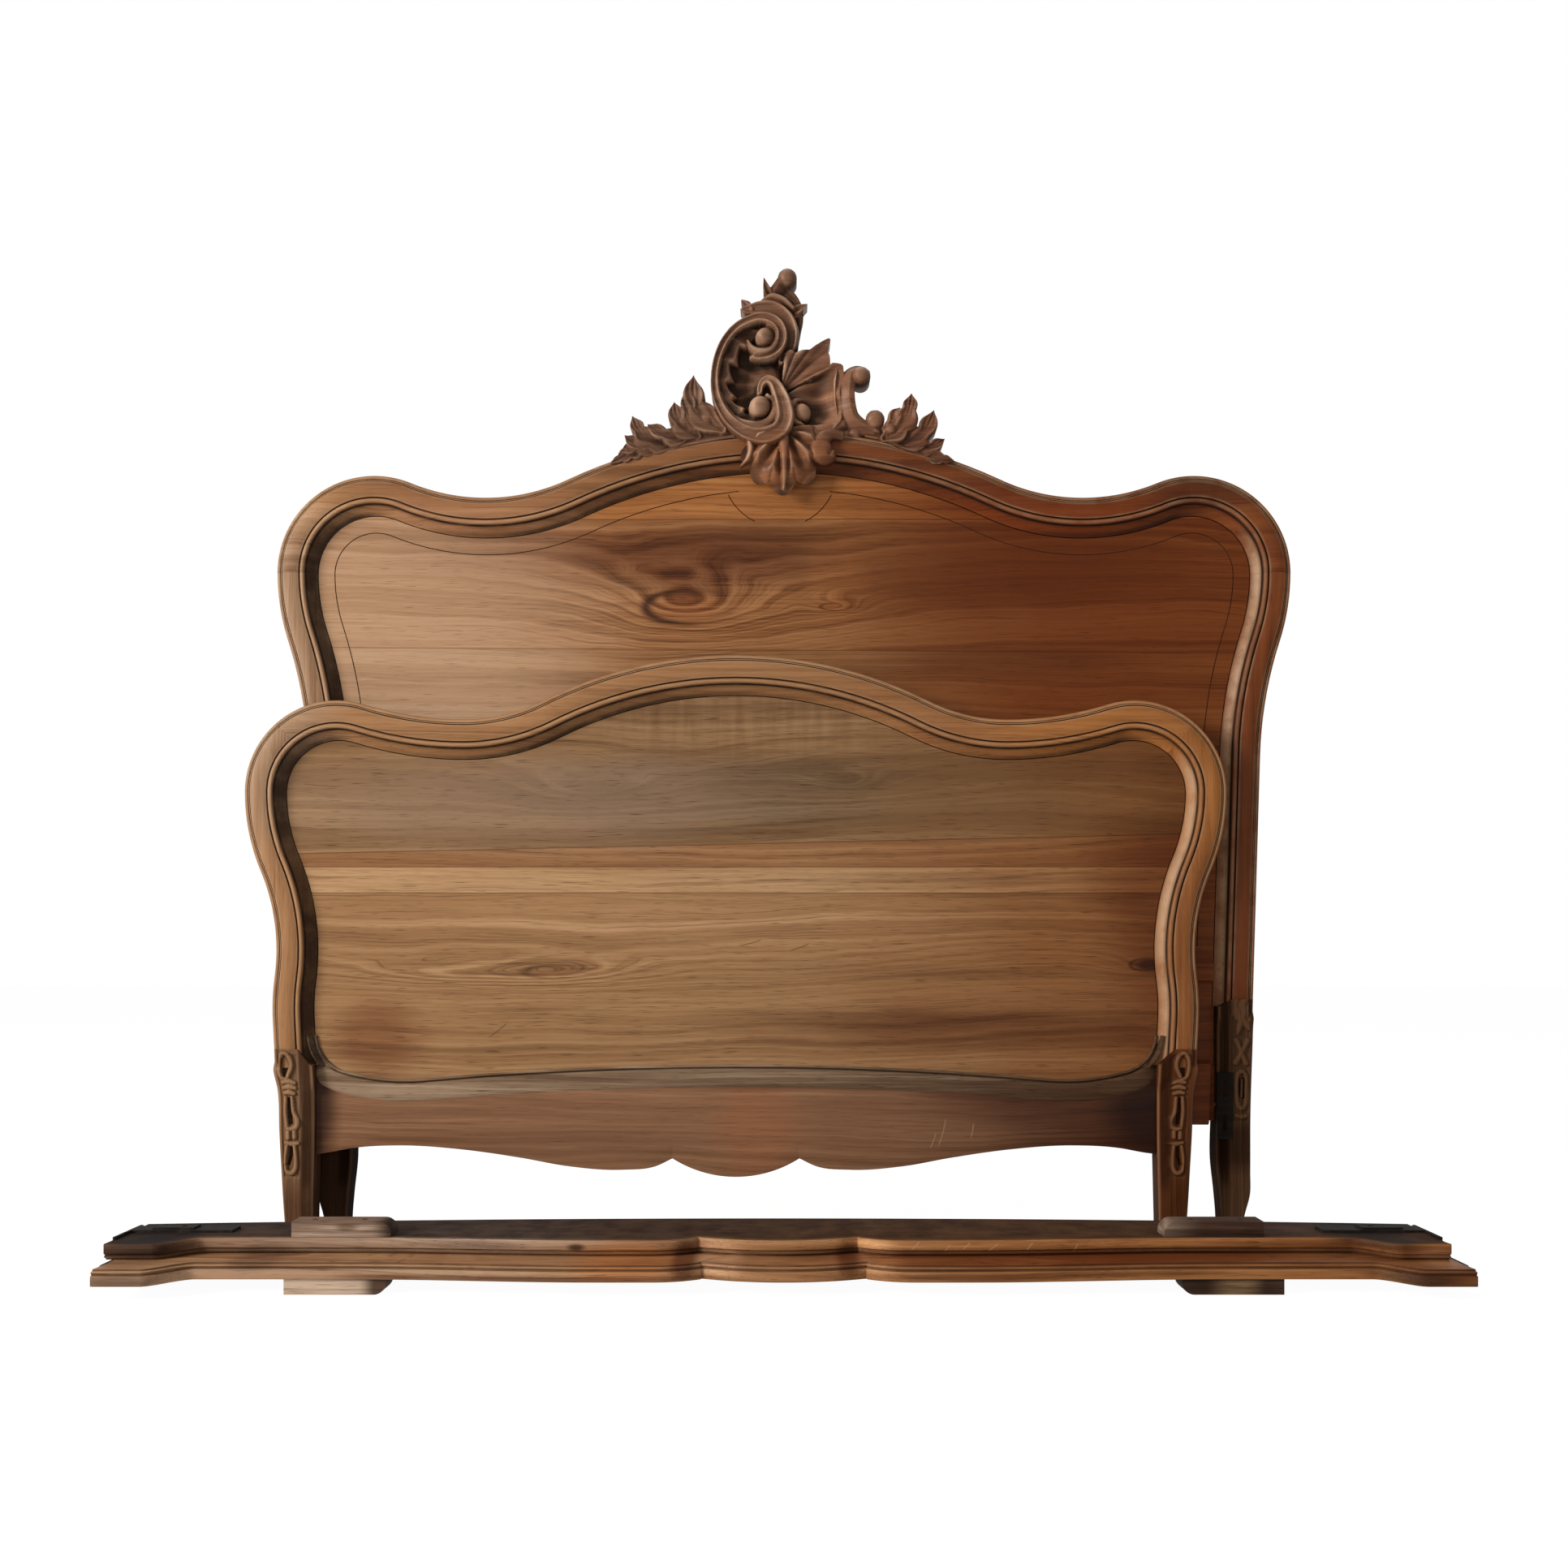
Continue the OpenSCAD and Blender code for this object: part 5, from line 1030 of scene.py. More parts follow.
def make_half_round():
    """The half-round under the fillet: a superellipse with a flat face, which ends in blunt round ends."""
    angle = np.radians(np.linspace(172, 8, 25))
    swell = np.sign(np.cos(angle)) * np.abs(np.cos(angle)) ** 0.75
    across = np.concatenate([[5.6], BAND_MIDDLE + 16.2 * swell, [38.0]]) - BAND_MIDDLE
    height = np.concatenate([[0.0], 19.0 + 10.5 * np.sin(angle) ** 0.5, [0.0]])
    stations = band_line[np.abs(band_line[:, 0]) < BAND_END]
    ends = np.clip((BAND_END - np.abs(stations[:, 0])) / 16.0, 0.004, 1)
    plump = np.sqrt(1 - (1 - ends) ** 2)[:, None]
    grid = carried(stations, BAND_MIDDLE + across * plump, height * (0.35 + 0.65 * plump))
    # Both long edges, where the band meets the fillet and the apron, are darkened: painted shade.
    dark = np.zeros(grid.shape[:2])
    dark[:, :3] = 0.9
    dark[:, -2:] = 0.8
    carried_piece("footboard_band_moulding", FOOT, grid, band_wood, 40, {"hollow": dark},
                  ["footboard_band"])


APRON_FRONT = 30
APRON_BACK = 6
APRON_UNDER = 30
APRON_CUSP = 103
APRON_LOBE_Z = 108
APRON_LOBE_RISE = 30
APRON_WAVE = [(APRON_CUSP, APRON_LOBE_Z + APRON_LOBE_RISE), (128, 126), (184, 119.5), (270, 125), (349, 139),
              (440, 152), (546, 159), (620, 155), (665, 147), (700, 143)]


def apron_lower(x):
    """Lower edge: an arc for the middle lobe, and a smooth wave from its cusp to the leg."""
    x = np.abs(x)
    radius = sum_of_radii(APRON_CUSP, APRON_LOBE_RISE)
    lobe = APRON_LOBE_Z + radius - np.sqrt(np.maximum(radius ** 2 - x ** 2, 1))
    return np.where(x < APRON_CUSP, lobe, along_knots(APRON_WAVE, x))


def make_apron():
    """Rings across the apron at stations along x: lower edge with a softened arris, up under the band."""
    half = edge_x(foot_post[-1], 200) - FRAME_W + 6
    inner = np.linspace(0, APRON_CUSP, 40)
    outer = np.linspace(APRON_CUSP + 0.01, half, 120)
    x = np.concatenate([-outer[::-1], -inner[:0:-1], inner, outer])
    low = apron_lower(x)
    under = inset(band_line, APRON_UNDER)
    top = np.interp(x, under[:, 0], under[:, 1])
    ring = [(top, APRON_BACK), (top, APRON_FRONT - 4)]
    ring += [(low + (top - low) * t, APRON_FRONT) for t in (0.75, 0.5, 0.25)]
    ring += [(low + 2.5, APRON_FRONT), (low + 0.7, APRON_FRONT - 0.7), (low, APRON_FRONT - 2.5),
             (low, APRON_BACK)]
    grid = np.stack([np.column_stack([x, z, np.full(x.size, float(height))]) for z, height in ring], axis=1)
    carried_piece("footboard_scalloped_apron", FOOT, grid, apron_wood, 40, {},
                  ["footboard_apron"])


make_fillet()
make_half_round()
make_apron()

# String line on the headboard's panel

STRING_INSET = FRAME_W + 25
STRING_HALF = 0.75
SCOOP_CENTRE = (-7, 1272)
SCOOP_R = 95
SCOOP_TURN = 38


def string_piece(name, line):
    """A thin strip laid along a line, half round and barely proud of the panel."""
    across = STRING_HALF * np.array([-1, -1, 0, 1, 1])
    height = PANEL_FRONT + np.array([-0.6, 0.1, 0.45, 0.1, -0.6])
    carried_piece(name, HEAD, carried(line, across, height), string_wood, 60, {})


line = inset(np.concatenate([head_top, head_post[1:]]), STRING_INSET)
line = line[(line[:, 0] > 72) & (line[:, 1] > 470)]
string_piece("panel_string_right", line)
string_piece("panel_string_left", mirrored(line))
for side, start in (("left", 206), ("right", 296)):
    scoop = bow(*SCOOP_CENTRE, SCOOP_R, start, start + SCOOP_TURN, 20)
    heading = np.linspace(start, start + SCOOP_TURN, 20) + 90
    string_piece(f"panel_string_scoop_{side}", np.column_stack([scoop, heading]))

# Carved relief


def blurred(field, sigma):
    """A field on a grid, smoothed by a Gaussian of sigma cells, by way of its Fourier transform."""
    rows, columns = field.shape
    fy = np.fft.fftfreq(rows)[:, None]
    fx = np.fft.rfftfreq(columns)[None, :]
    gauss = np.exp(-2 * (math.pi * sigma) ** 2 * (fy**2 + fx**2))
    return np.fft.irfft2(np.fft.rfft2(field) * gauss, s=field.shape)


def scroll_section(s, t):
    """A hollow face between two raised rims with rounded arrises."""
    a = np.abs(s)
    return 4.2 * between(a, 0.25, 0.78) - 5.0 * between(a, 0.86, 1.05)


def bead_section(s, t):
    return 6.0 * np.sqrt(np.clip(1 - s * s, 0, 1)) - 3.0


def ridge_section(s, t):
    """One arris nearer to the left edge, a lit face beside it and a long slope to the right."""
    return np.where(s < -0.35, -5.0 * np.clip(-0.35 - s, 0, 1), -8.0 * np.clip(s + 0.35, 0, 2) ** 1.3)


def leaf_section(s, t):
    """A cupped acanthus leaf: a sunk midrib, raised edges and flutes that run out to its teeth."""
    a = np.abs(s)
    flutes = np.cos(2 * math.pi * (1.3 * a - 1.6 * t))
    cup = 2.6 * a**1.6 - 1.8 * np.exp(-((s / 0.22) ** 2))
    return cup + 1.2 * flutes * np.clip(a * 3, 0, 1) - 3.0 * between(a, 0.8, 1.1)


class Relief:
    """A carving as heights over a grid of x and z: the highest element wins at each point.

    inside is how far a point lies within the outline, in millimetres, so the outline is its zero line.
    """

    LIP = 1.6
    BACK_ROUND = 4
    OUTSIDE = -9.0
    EMPTY = -99.0

    def __init__(self, low, high, step):
        self.step = step
        x = np.arange(low[0], high[0] + step, step)
        z = np.arange(low[1], high[1] + step, step)
        self.x, self.z = np.meshgrid(x, z, indexing="ij")
        self.inside = np.full(self.x.shape, self.OUTSIDE)
        self.height = np.full(self.x.shape, self.EMPTY)

    def window(self, low, high):
        first = [max(0, int((low[k] - (self.x, self.z)[k][0, 0]) / self.step)) for k in (0, 1)]
        last = [max(first[k] + 1, int((high[k] - (self.x, self.z)[k][0, 0]) / self.step) + 2) for k in (0, 1)]
        return slice(first[0], last[0]), slice(first[1], last[1])

    def lay(self, part, inside, height):
        wins = (inside > -self.LIP) & (height > self.height[part])
        self.height[part] = np.where(wins, height, self.height[part])
        self.inside[part] = np.maximum(self.inside[part], inside)

    def ribbon(self, knots, section, teeth=0, tooth=0.0, per=9):
        """A band along a smooth curve through knots (x, z, half width, height).

        section(s, t) adds to the height: s is -1 at the left edge and 1 at the right one, t runs from
        0 to 1 along the band. teeth cut the edges into rounded points.
        """
        line = smooth_curve(knots, per)
        half = np.maximum(line[:, 2], 0.4)
        reach = half.max() + 3
        part = self.window(line[:, :2].min(0) - reach, line[:, :2].max(0) + reach)
        x, z = self.x[part], self.z[part]
        best = np.full(x.shape, 1e9)
        near = np.zeros(x.shape, int)
        for i, (px, pz) in enumerate(line[:, :2]):
            d = (x - px) ** 2 + (z - pz) ** 2
            closer = d < best
            best = np.where(closer, d, best)
            near = np.where(closer, i, near)
        run = np.gradient(line[:, :2], axis=0)
        spacing = np.linalg.norm(run, axis=1)
        run /= spacing[:, None]
        off_x, off_z = x - line[near, 0], z - line[near, 1]
        across = off_x * run[near, 1] - off_z * run[near, 0]
        ahead = off_x * run[near, 0] + off_z * run[near, 1]
        last = len(line) - 1
        at = near + np.clip(ahead / spacing[near], -0.5, 0.5)
        beyond = ((near == 0) & (ahead < 0)) | ((near == last) & (ahead > 0))
        away = np.where(beyond, np.sqrt(best), np.abs(across))
        t = np.clip(at / last, 0, 1)
        width = np.interp(at, np.arange(last + 1), half)
        if teeth:
            width = width * (1 - tooth * (1 - np.abs(np.sin(math.pi * teeth * t))))
        height = np.interp(at, np.arange(last + 1), line[:, 3])
        s = np.clip(np.copysign(away, across) / width, -1.2, 1.2)
        self.lay(part, width - away, height + section(s, t))

    def ball(self, x, z, radius, top, squash=1.0):
        """A half ball, whose top is at a height."""
        part = self.window((x - radius - 3, z - radius - 3), (x + radius + 3, z + radius + 3))
        d = np.hypot(self.x[part] - x, self.z[part] - z)
        rise = np.sqrt(np.clip(radius**2 - d**2, 0, None))
        self.lay(part, radius - d, top + (rise - radius) * squash)

    def fan(self, centre, outline, flutes, floor, depth=2.5, scallop=0.06, soft=0.8, twist=0.0):
        """Flutes that radiate from a centre. outline is (angle, reach) knots in rising angles.

        floor(rho, angle) is the height at rho, from 0 at the centre to 1 at the outline. Each flute is
        a hollow between two ribs, and its outer end a shallow scallop. The ribs are sharp at a soft of 1
        or less and round at 2, and twist bends them by so many flutes on the way out.
        """
        knots = np.asarray(outline, float)
        reach = knots[:, 1].max() + 3
        part = self.window(np.subtract(centre, reach), np.add(centre, reach))
        dx, dz = self.x[part] - centre[0], self.z[part] - centre[1]
        middle = (knots[0, 0] + knots[-1, 0]) / 2
        angle = (np.degrees(np.arctan2(dz, dx)) - middle + 180) % 360 - 180 + middle
        r = np.hypot(dx, dz)
        phase = (angle - knots[0, 0]) / (knots[-1, 0] - knots[0, 0]) * flutes
        limit = along_knots(outline, np.clip(angle, knots[0, 0], knots[-1, 0]))
        phase = phase + twist * (1 - np.clip(r / limit, 0, 1))
        hollow = np.abs(np.sin(math.pi * phase))
        limit = limit * (1 - scallop + scallop * hollow)
        beyond = np.maximum(knots[0, 0] - angle, angle - knots[-1, 0])
        sideways = -np.radians(np.clip(beyond, -60, 90)) * r
        rho = r / limit
        height = floor(np.clip(rho, 0, 1.1), angle) - depth * hollow**soft * between(rho, 0.08, 0.6)
        self.lay(part, np.minimum(limit - r, sideways), height)

    def held(self):
        """Where an element gives a height."""
        return self.height > self.EMPTY

    def around(self, sigma, least):
        """The mean height round each point, over the carved points alone."""
        held = self.held()
        return blurred(np.where(held, self.height, 0), sigma) / (blurred(held.astype(float), sigma) + least)

    def soften(self, sigma=0.55):
        """Soften the arrises a little, as tools and wear do, without drawing the edges down."""
        self.height = np.where(self.held(), self.around(sigma, 1e-6), self.height)

    def relative(self, reach):
        """How far each point stands over its neighbourhood, in millimetres, negative in hollows."""
        return np.where(self.held(), self.height - self.around(reach / self.step, 1e-3), 0)

    def solid(self, back):
        """Points and faces of the closed shell between the relief and its back.

        A cell is kept where its corners lie inside on average. A node on the edge of the kept cells moves
        to the outline by the step p - inside * gradient / |gradient|^2. The back is flat and turns up
        by BACK_ROUND towards the outline.
        """
        gx, gz = np.gradient(self.inside, self.step)
        slope = np.maximum(gx**2 + gz**2, 0.3)
        f = self.inside
        kept = f[:-1, :-1] + f[1:, :-1] + f[1:, 1:] + f[:-1, 1:] > 0
        count = np.zeros(f.shape, int)
        for di, dj in ((0, 0), (1, 0), (1, 1), (0, 1)):
            count[di:di + kept.shape[0], dj:dj + kept.shape[1]] += kept
        used = count > 0
        edge = used & (count < 4)
        move = np.clip(np.where(edge, f / slope, 0), -1.2 * self.step, 1.2 * self.step)
        x, z = (self.x - move * gx)[used], (self.z - move * gz)[used]
        held = self.held()
        front = np.maximum(np.where(held, self.height, self.height[used & held].min()), back + 4)
        turned_up = back + self.BACK_ROUND * (1 - between(np.where(edge, 0, f), 0, 5))
        number = np.cumsum(used.ravel()).reshape(used.shape) - 1
        total = int(used.sum())
        points = np.concatenate([np.column_stack([x, z, front[used]]),
                                 np.column_stack([x, z, np.minimum(turned_up, front - 3)[used]])])
        a, b = number[:-1, :-1], number[1:, :-1]
        c, d = number[1:, 1:], number[:-1, 1:]
        faces = [np.stack([a, b, c, d], -1)[kept], np.stack([d, c, b, a], -1)[kept] + total]
        padded = np.pad(kept, 1)
        for neighbour, start, end in ((padded[1:-1, :-2], a, b), (padded[2:, 1:-1], b, c),
                                      (padded[1:-1, 2:], c, d), (padded[:-2, 1:-1], d, a)):
            rim = kept & ~neighbour
            faces.append(np.stack([end[rim], start[rim], start[rim] + total, end[rim] + total], -1))
        # Points below their neighbours are darkened: painted shade in the carving's hollows, and dirt there.
        # Proud points are paled by wear.
        near, far = self.relative(5)[used], self.relative(15)[used]
        flat = np.zeros(total)
        dark = np.clip(-near / 4.5, 0, 1) * 0.75 + np.clip(-far / 10 - 0.1, 0, 1) * 0.7
        marks = {"hollow": np.concatenate([np.clip(dark * 1.15, 0, 1), flat]),
                 "worn": np.concatenate([np.clip(near / 3.5 - 0.3, 0, 1), flat])}
        return points, np.concatenate(faces).tolist(), marks


# Crest

CREST_BACK = 9


def carve_cartouche():
    """Two-eyed C-scroll round a fluted shell, with its wing, right curl, crown leaves and finial."""
    relief = Relief((-128, 1296), (162, 1601), 1.0)
    relief.ball(-8, 1424, 50, 16, 0.1)
    relief.fan((-14, 1404), [(66, 60), (92, 100), (112, 108), (130, 110), (148, 107), (165, 103), (180, 100),
                             (198, 92), (215, 84), (240, 72)], 8,
               lambda rho, angle: 38 - 22 * between(rho, 0.05, 0.62) + 24 * between(
                   rho + 0.09 * np.abs(np.sin(math.pi * 8 * (angle - 66) / 174)), 0.78, 0.88),
               5.5, 0.09, 1.3, 0.7)
    relief.fan((-4, 1398), [(24, 94), (29, 92), (35, 97), (41, 106), (46, 113), (50, 99), (57, 78), (70, 66),
                            (84, 62)],
               4, lambda rho, angle: 25 + 18 * rho**1.5, -5.5, 0.06, 0.6, -0.6)
    relief.fan((4, 1392), [(-66, 74), (-54, 82), (-40, 98), (-28, 101), (-14, 92), (0, 89), (12, 92),
                           (21, 101), (26, 103), (32, 92)], 3,
               lambda rho, angle: 34 - 12 * np.sin(math.pi * between(rho, 0.2, 0.98)) + 15 * rho**2,
               4.0, 0.03, 1.3, 0.5)
    relief.ribbon([(-6, 1560, 12, 36), (6, 1546, 16, 38), (17, 1525, 15, 38), (19, 1500, 9, 36),
                   (18, 1478, 6, 34), (16, 1462, 7, 32)], leaf_section)
    relief.ribbon([(8, 1522, 11, 38), (22, 1529, 8, 42), (38, 1537, 0.5, 44)], leaf_section)
    relief.ribbon([(-71, 1529, 0.5, 46), (-60, 1526, 7, 48), (-38, 1528, 12, 50), (-16, 1525, 14, 50),
                   (3, 1510, 13, 49), (12, 1489, 11, 46), (9, 1466, 9, 41), (-4, 1448, 5, 34)],
                   scroll_section)
    relief.ribbon([(-52, 1526, 4, 49), (-60, 1538, 4, 47), (-70, 1543, 0.6, 46)], bead_section)
    relief.ribbon([(-54, 1454, 2, 36), (-38, 1452, 5, 42), (-19, 1456, 7, 48), (-5, 1470, 8, 52),
                   (-4, 1490, 8, 54), (-15, 1506, 8, 54), (-36, 1513, 7, 53), (-58, 1508, 6.5, 52),
                   (-79, 1496, 6, 51), (-97, 1475, 6, 50), (-109, 1447, 6, 50), (-114, 1415, 6, 51),
                   (-111, 1384, 7, 52), (-99, 1356, 8, 54), (-80, 1334, 10, 56), (-55, 1319, 12, 59),
                   (-29, 1316, 14, 61), (-7, 1326, 14, 62), (2, 1346, 13.5, 63), (-1, 1368, 12.5, 63),
                   (-8, 1388, 10.5, 62), (-16, 1403, 8, 60), (-27, 1409, 6, 57), (-37, 1403, 4.5, 53),
                   (-40, 1391, 3, 48)], scroll_section)
    relief.ribbon([(-104, 1392, 3, 40), (-97, 1368, 4.5, 45), (-82, 1348, 6, 50), (-62, 1337, 7, 55),
                   (-40, 1335, 7, 57), (-23, 1342, 7, 58), (-15, 1357, 6.5, 58), (-17, 1375, 5, 54),
                   (-27, 1386, 3.5, 49)], bead_section)
    relief.ribbon([(-60, 1480, 1.5, 40), (-52, 1466, 4, 46), (-38, 1459, 5, 50), (-20, 1462, 5, 52),
                   (-11, 1476, 5, 53), (-13, 1493, 4, 52), (-26, 1502, 3, 50)], bead_section)
    relief.ball(-30.5, 1482, 15.5, 60)
    relief.ball(-39, 1365.5, 17.5, 68)
    relief.ribbon([(-28, 1534, 11, 42), (-19, 1548, 12, 45), (-9, 1562, 12, 47), (2, 1575, 13, 48),
                   (6, 1581, 12, 50)], ridge_section)
    relief.ribbon([(-14, 1540, 8, 42), (-26, 1556, 7.5, 46), (-33, 1578, 0.6, 48)], leaf_section)
    relief.ribbon([(-36, 1541, 3, 46), (-20, 1548, 5, 51), (0, 1542, 5, 50), (15, 1531, 3, 45)],
                   bead_section)
    relief.ball(5.5, 1580, 15.5, 57)
    relief.ribbon([(137, 1430, 5, 42), (123, 1433, 6, 48), (110, 1425, 9, 52), (104, 1409, 13, 54),
                   (102, 1388, 14, 54), (104, 1368, 14, 53), (110, 1350, 14, 50), (125, 1338, 13, 46),
                   (148, 1330, 10, 42)], ridge_section)
    relief.ball(118, 1330, 14, 40)
    relief.ball(102, 1327, 13, 38)
    relief.ball(-50, 1490, 20, 14, 0.1)
    relief.ribbon([(88, 1434, 1, 42), (84, 1408, 2, 45), (84, 1380, 2, 45), (88, 1352, 1, 42)],
                   bead_section)
    relief.ball(126.5, 1418, 15.5, 60)
    relief.ribbon([(-2, 1334, 9, 40), (26, 1327, 11, 45), (52, 1327, 11, 47), (76, 1334, 9, 45),
                   (96, 1342, 7, 42)], bead_section)
    relief.ribbon([(33, 1381, 1, 44), (19, 1376, 4, 53), (12, 1361, 5, 56), (16, 1345, 4.5, 55),
                   (32, 1337, 2, 50)], bead_section)
    relief.ball(29, 1358.5, 13.5, 61)
    return relief


def carve_pendant():
    """Fluted shell that hangs over the frame, between the two ends of the moulding."""
    relief = Relief((-92, 1216), (96, 1332), 0.95)
    relief.fan((0, 1332), [(-190, 56), (-172, 60), (-158, 72), (-146, 86), (-135, 94), (-120, 100),
                           (-105, 106), (-91, 109), (-76, 105), (-62, 99), (-48, 93), (-36, 88), (-22, 76),
                           (-8, 64), (8, 58)], 7,
               lambda rho, angle: 46 + 17 * between(rho, 0.1, 0.6) - 14 * between(rho, 0.72, 1.02),
               11.0, 0.16, 1.7)
    relief.ribbon([(-2, 1322, 9, 54), (0, 1300, 7, 60), (1, 1276, 5.5, 62), (1, 1252, 4.5, 58),
                   (0, 1234, 3, 48)], bead_section)
    relief.ribbon([(-66, 1320, 2.5, 52), (-57, 1308, 4, 57), (-54, 1294, 4.5, 58), (-59, 1280, 4, 56),
                   (-70, 1269, 2.5, 50)], bead_section)
    relief.ribbon([(94, 1321, 8, 46), (77, 1322, 10, 51), (64, 1312, 13, 56), (60, 1296, 15, 59),
                   (66, 1283, 14, 59), (76, 1282, 9, 57), (80, 1291, 5, 54)], bead_section)
    relief.ball(64, 1296, 15, 62, 0.6)
    return relief


def leaf(relief, root, tip, half, height, bend=0.0, teeth=2):
    """A pointed leaf from root to tip, bowed to its left by bend times its length."""
    root, tip = np.array(root, float), np.array(tip, float)
    run = tip - root
    side = np.array([-run[1], run[0]]) * bend
    widths = (0.6, 1.1, 1.15, 0.75, 0.03)
    lift = (-4, 1, 5, 7, 6)
    knots = [(*(root + run * t + side * math.sin(math.pi * t)), half * w, height + up)
             for t, w, up in zip((0, 0.28, 0.55, 0.8, 1.0), widths, lift)]
    relief.ribbon(knots, leaf_section, teeth, 0.36, 10)


def carve_right_spray():
    relief = Relief((134, 1276), (286, 1392), 0.95)
    relief.ribbon([(136, 1330, 9, 34), (165, 1325, 12, 36), (200, 1312, 12, 36), (235, 1297, 9, 34),
                   (272, 1284, 2, 30)], scroll_section)
    leaf(relief, (214, 1302), (264, 1316), 11, 37, -0.12)
    leaf(relief, (196, 1308), (280, 1281), 13, 35, -0.06, 4)
    leaf(relief, (190, 1308), (246, 1362), 17, 40, -0.18)
    leaf(relief, (178, 1316), (190, 1366), 13, 41, 0.1)
    leaf(relief, (166, 1318), (209, 1388), 18, 44, -0.16, 3)
    relief.ball(150, 1349, 15.5, 51, 0.8)
    relief.ball(176, 1333, 10, 48, 0.8)
    return relief


def carve_left_spray():
    relief = Relief((-288, 1270), (-82, 1420), 0.95)
    relief.ribbon([(-84, 1330, 11, 36), (-120, 1326, 14, 38), (-160, 1318, 14, 38), (-200, 1306, 13, 36),
                   (-240, 1292, 9, 33), (-284, 1278, 2, 30)], scroll_section)
    leaf(relief, (-216, 1298), (-268, 1294), 11, 37, -0.12)
    leaf(relief, (-202, 1304), (-262, 1321), 13, 39, 0.14)
    leaf(relief, (-184, 1308), (-249, 1352), 17, 41, 0.2, 3)
    leaf(relief, (-158, 1318), (-224, 1338), 13, 42, 0.1)
    leaf(relief, (-142, 1322), (-180, 1374), 17, 43, 0.16)
    leaf(relief, (-126, 1332), (-158, 1394), 15, 43, 0.16)
    leaf(relief, (-102, 1332), (-148, 1417), 20, 45, 0.2)
    leaf(relief, (-170, 1316), (-285, 1277), 15, 35, -0.05, 6)
    relief.ball(-163, 1348, 15, 49, 0.8)
    relief.ball(-128, 1350, 13, 48, 0.8)
    relief.ball(-196, 1322, 9, 45, 0.8)
    return relief


def make_crest():
    for relief, node, back in (
        (carve_cartouche(), "crest_cartouche", CREST_BACK), (carve_pendant(), "crest_pendant", FRAME_T),
        (carve_left_spray(), "crest_left_spray", CREST_BACK),
        (carve_right_spray(), "crest_right_spray", CREST_BACK),
    ):
        relief.soften()
        points, faces, marks = relief.solid(back)
        new_piece(f"{node}_carving", HEAD.out(points), faces, crest_wood, 75, marks, [node])


make_crest()

# Side rails

RAIL_HALF = 940
RAIL_T = 23
RAIL_H = 105
RAIL_RISE = 45
RAIL_SOFT = 1.5
END_DROP = 45
END_EASE = 60
END_X = RAIL_HALF - 65
LOBE_HALF = 114
LOBE_DROP = 20
LOBE_RISE = 24
SIDE_LOBE_R = 120
SIDE_LOBE_X = LOBE_HALF + 68
SIDE_LOBE_FLAT = 250
PLAIN_X = 612


def rail_lower_edge():
    """The lower edge as stations (x, h, heading) from the left end to the right one.

    The middle lobe is an arc; a side lobe starts with an arc at the cusp and eases to the plain edge by
    half a cosine, and so does each deep end.
    """
    lobe_r = (LOBE_HALF**2 + LOBE_RISE**2) / (2 * LOBE_RISE)
    x_lobe = np.linspace(0, LOBE_HALF, 30)
    lobe = np.column_stack([x_lobe, lobe_r - LOBE_DROP - np.sqrt(lobe_r**2 - x_lobe**2)])
    turn = bow(SIDE_LOBE_X, SIDE_LOBE_R - LOBE_DROP, SIDE_LOBE_R, 236, 270, 14)
    x_side = np.linspace(SIDE_LOBE_FLAT, PLAIN_X, 40)
    share = (x_side - SIDE_LOBE_FLAT) / (PLAIN_X - SIDE_LOBE_FLAT)
    side = np.column_stack([x_side, -LOBE_DROP * (1 + np.cos(math.pi * share)) / 2])
    x_end = np.linspace(END_X - END_EASE, END_X, 24)
    share = (x_end - x_end[0]) / END_EASE
    end = np.column_stack([x_end, -END_DROP * (1 - np.cos(math.pi * share)) / 2])
    corner = [[RAIL_HALF - 3, -END_DROP], [RAIL_HALF, -END_DROP + 0.5]]
    right = np.concatenate([lobe, turn, side, end, corner])
    line = np.concatenate([right[:0:-1] * (-1, 1), right])
    run = np.gradient(line, axis=0)
    heading = np.degrees(np.arctan2(run[:, 1], run[:, 0]))
    return np.column_stack([line, heading])


def rail_section():
    """(inward, t) from the inner face round the lower edge to the outer face, with its sunk moulding."""
    return np.array([(14, 0), (1.2, 0), (0.4, 0.4), (0, 1.2), (0, 13.6), (0.5, 14.3), (1.6, 14.6),
                     (2.6, 15.2), (2.6, 16.4), (1.6, 17.2), (1.3, 18.2), (1.7, 19.3), (2.7, 20.1),
                     (4.2, 20.4), (5.2, 20.8), (5.2, 22.2), (5.8, 22.9), (6.8, 23), (14, 23)], float)


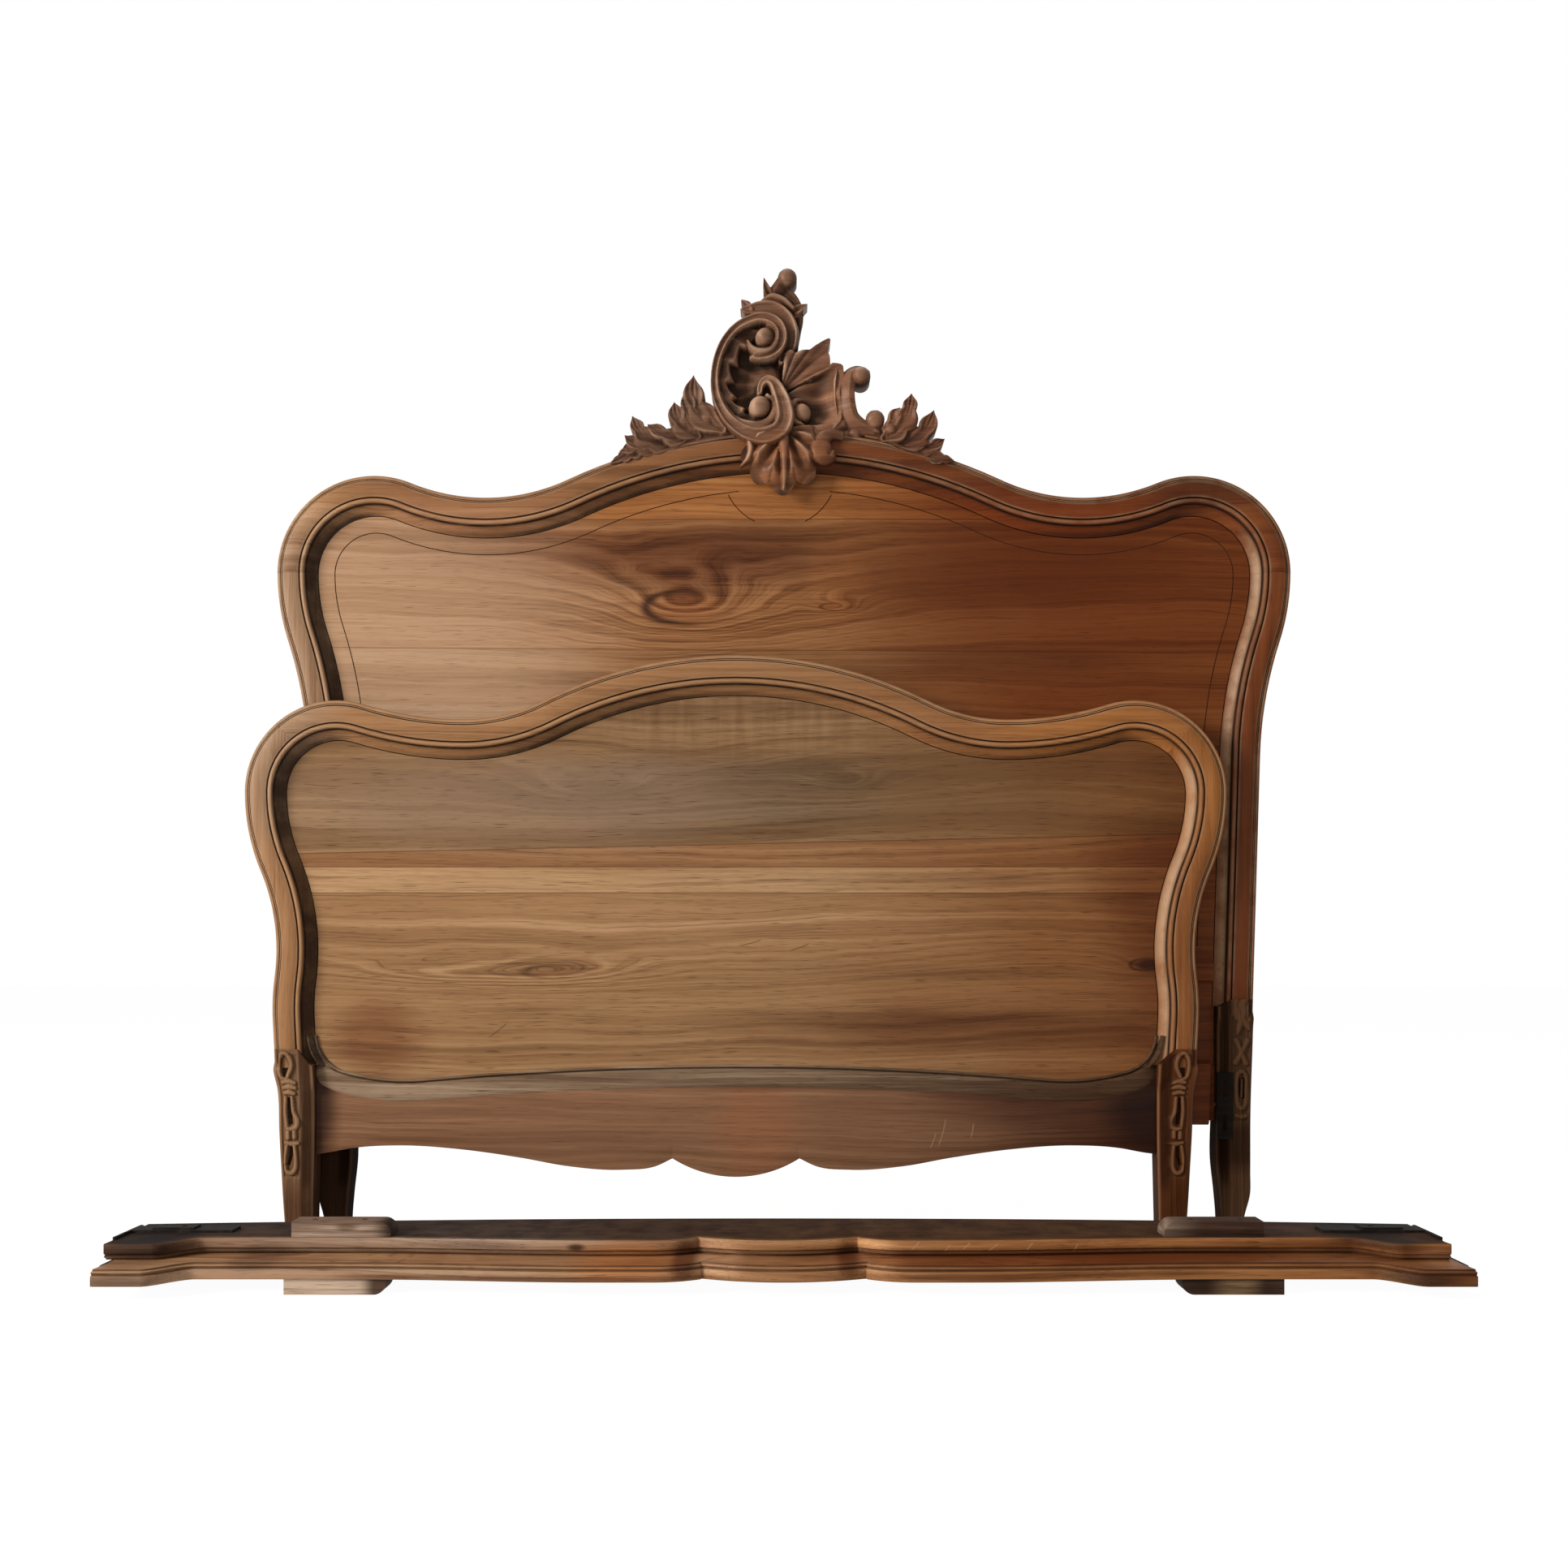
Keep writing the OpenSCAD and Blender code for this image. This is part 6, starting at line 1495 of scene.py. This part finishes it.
def make_rail(name, way):
    """One rail as a grid of (x, h, t): x runs along it, h from its plain lower edge, t from its inner face.

    It lies on its inner face with a way of 1, and on its outer face, end for end, with -1.
    """
    low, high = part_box(f"{name}_rail_board")
    base = low.z if way > 0 else high.z
    place = Place(((low.x + high.x) / 2, low.y + END_DROP * MM, base), [0, 1, 2], (way, 1, way))
    line = rail_lower_edge()
    section = rail_section()
    count = len(section)
    top = RAIL_H + RAIL_RISE * (1 - (line[:, :1] / RAIL_HALF) ** 2)
    grid = np.empty((len(line), count + 4, 3))
    grid[:, :count] = carried(line, -section[:, 0], section[:, 1])
    grid[:, count:, 0] = line[:, :1]
    grid[:, count:, 1] = top - np.array([RAIL_SOFT, 0, 0, RAIL_SOFT])
    grid[:, count:, 2] = (RAIL_T, RAIL_T - RAIL_SOFT, RAIL_SOFT, 0)
    grid[..., 0] = np.clip(grid[..., 0], -RAIL_HALF, RAIL_HALF)
    marks = {label: np.zeros(grid.shape[:2]) for label in ("hollow", "stain")}
    marks["hollow"][:, 6:11] = 0.7
    marks["hollow"][:, 14:17] = 0.7
    marks["stain"][:, (0, -1)] = 1.0
    marks["stain"][:, 1] = 0.7
    carried_piece(f"{name}_rail", place, grid, rail_wood, 40, marks, [f"{name}_rail_board"])


make_rail("lower", 1)
make_rail("upper", -1)

# Studio

CAMERA_PLACE = (0.0045, -2.2525, 0.490)
PHOTO_SIDE = 1932
FOCAL_PIXELS = 1834
HORIZON_Y = 1160
SENSOR = 36.0


def set_camera():
    """A level view along +Y. The horizon's place in the photograph gives the shift."""
    data = bpy.data.cameras.new("view")
    data.sensor_width = SENSOR
    data.sensor_fit = "HORIZONTAL"
    data.lens = FOCAL_PIXELS / PHOTO_SIDE * SENSOR
    data.shift_y = (HORIZON_Y - PHOTO_SIDE / 2) / PHOTO_SIDE
    data.clip_end = 100
    camera = bpy.data.objects.new("view", data)
    camera.location = CAMERA_PLACE
    camera.rotation_euler = (math.pi / 2, 0, 0)
    bpy.context.scene.collection.objects.link(camera)
    bpy.context.scene.camera = camera


def seen_white(wires, low, high):
    """high for rays that show the background (camera, glossy and transmission rays), and low for the rest."""
    camera, through, glossy = (wires.value("ShaderNodeLightPath", output=f"Is {kind} Ray")
                               for kind in ("Camera", "Transmission", "Glossy"))
    seen = wires.math("MAXIMUM", wires.math("MAXIMUM", camera, through), glossy)
    return seen.spread(0, 1, low, high)


def set_world():
    world = bpy.data.worlds.new("studio")
    bpy.context.scene.world = world
    world.use_nodes = True
    wires = Wires(world.node_tree)
    background = world.node_tree.nodes["Background"]
    background.inputs["Color"].default_value = (1, 1, 1, 1)
    wires.feed(background.inputs["Strength"], seen_white(wires, 0.22, 1.0))


def set_floor():
    """A pale floor that shows white, with part of the shadows that fall on it."""
    half = 14.0
    mesh = bpy.data.meshes.new("studio_floor")
    corners = [(-half, -half, 0), (half, -half, 0), (half, half, 0), (-half, half, 0)]
    mesh.from_pydata(corners, [], [(0, 1, 2, 3)])
    floor = bpy.data.objects.new("studio_floor", mesh)
    bpy.context.scene.collection.objects.link(floor)
    material, wires, shader = start_material("studio_floor")
    tree = material.node_tree
    shader.inputs["Base Color"].default_value = (0.86, 0.86, 0.86, 1)
    shader.inputs["Roughness"].default_value = 0.9
    shader.inputs["Specular IOR Level"].default_value = 0.0
    glow = wires.node("ShaderNodeEmission", {"Color": (1, 1, 1, 1), "Strength": 1.12})
    blend = wires.node("ShaderNodeMixShader")
    wires.feed(blend.inputs[0], seen_white(wires, 0.0, 0.86))
    tree.links.new(shader.outputs[0], blend.inputs[1])
    tree.links.new(glow.outputs[0], blend.inputs[2])
    tree.links.new(blend.outputs[0], tree.nodes["Material Output"].inputs["Surface"])
    mesh.materials.append(material)


def add_lamp(name, place, aim, size, power, colour):
    data = bpy.data.lights.new(name, "AREA")
    data.shape = "RECTANGLE"
    data.size, data.size_y = size
    data.energy = power
    data.color = colour
    lamp = bpy.data.objects.new(name, data)
    lamp.location = place
    direction = np.array(aim, float) - np.array(place, float)
    flat = math.hypot(direction[0], direction[1])
    tilt = math.pi / 2 - math.atan2(-direction[2], flat)
    lamp.rotation_euler = (tilt, 0, math.atan2(direction[1], direction[0]) - math.pi / 2)
    bpy.context.scene.collection.objects.link(lamp)


def set_lights():
    add_lamp("window", (-4.6, -2.6, 2.3), (0.0, 0.1, 0.8), (1.6, 1.8), 300, (1.0, 0.985, 0.96))
    add_lamp("fill", (-0.4, -4.2, 1.2), (0.0, 0.1, 0.7), (2.2, 1.8), 20, (1.0, 0.97, 0.93))
    add_lamp("sky", (-0.3, 0.1, 3.4), (0.0, 0.1, 0.6), (2.4, 1.4), 22, (1.0, 1.0, 1.0))


set_camera()
set_world()
set_floor()
set_lights()
bpy.context.scene.view_settings.view_transform = "Standard"

bpy.context.view_layer.update()
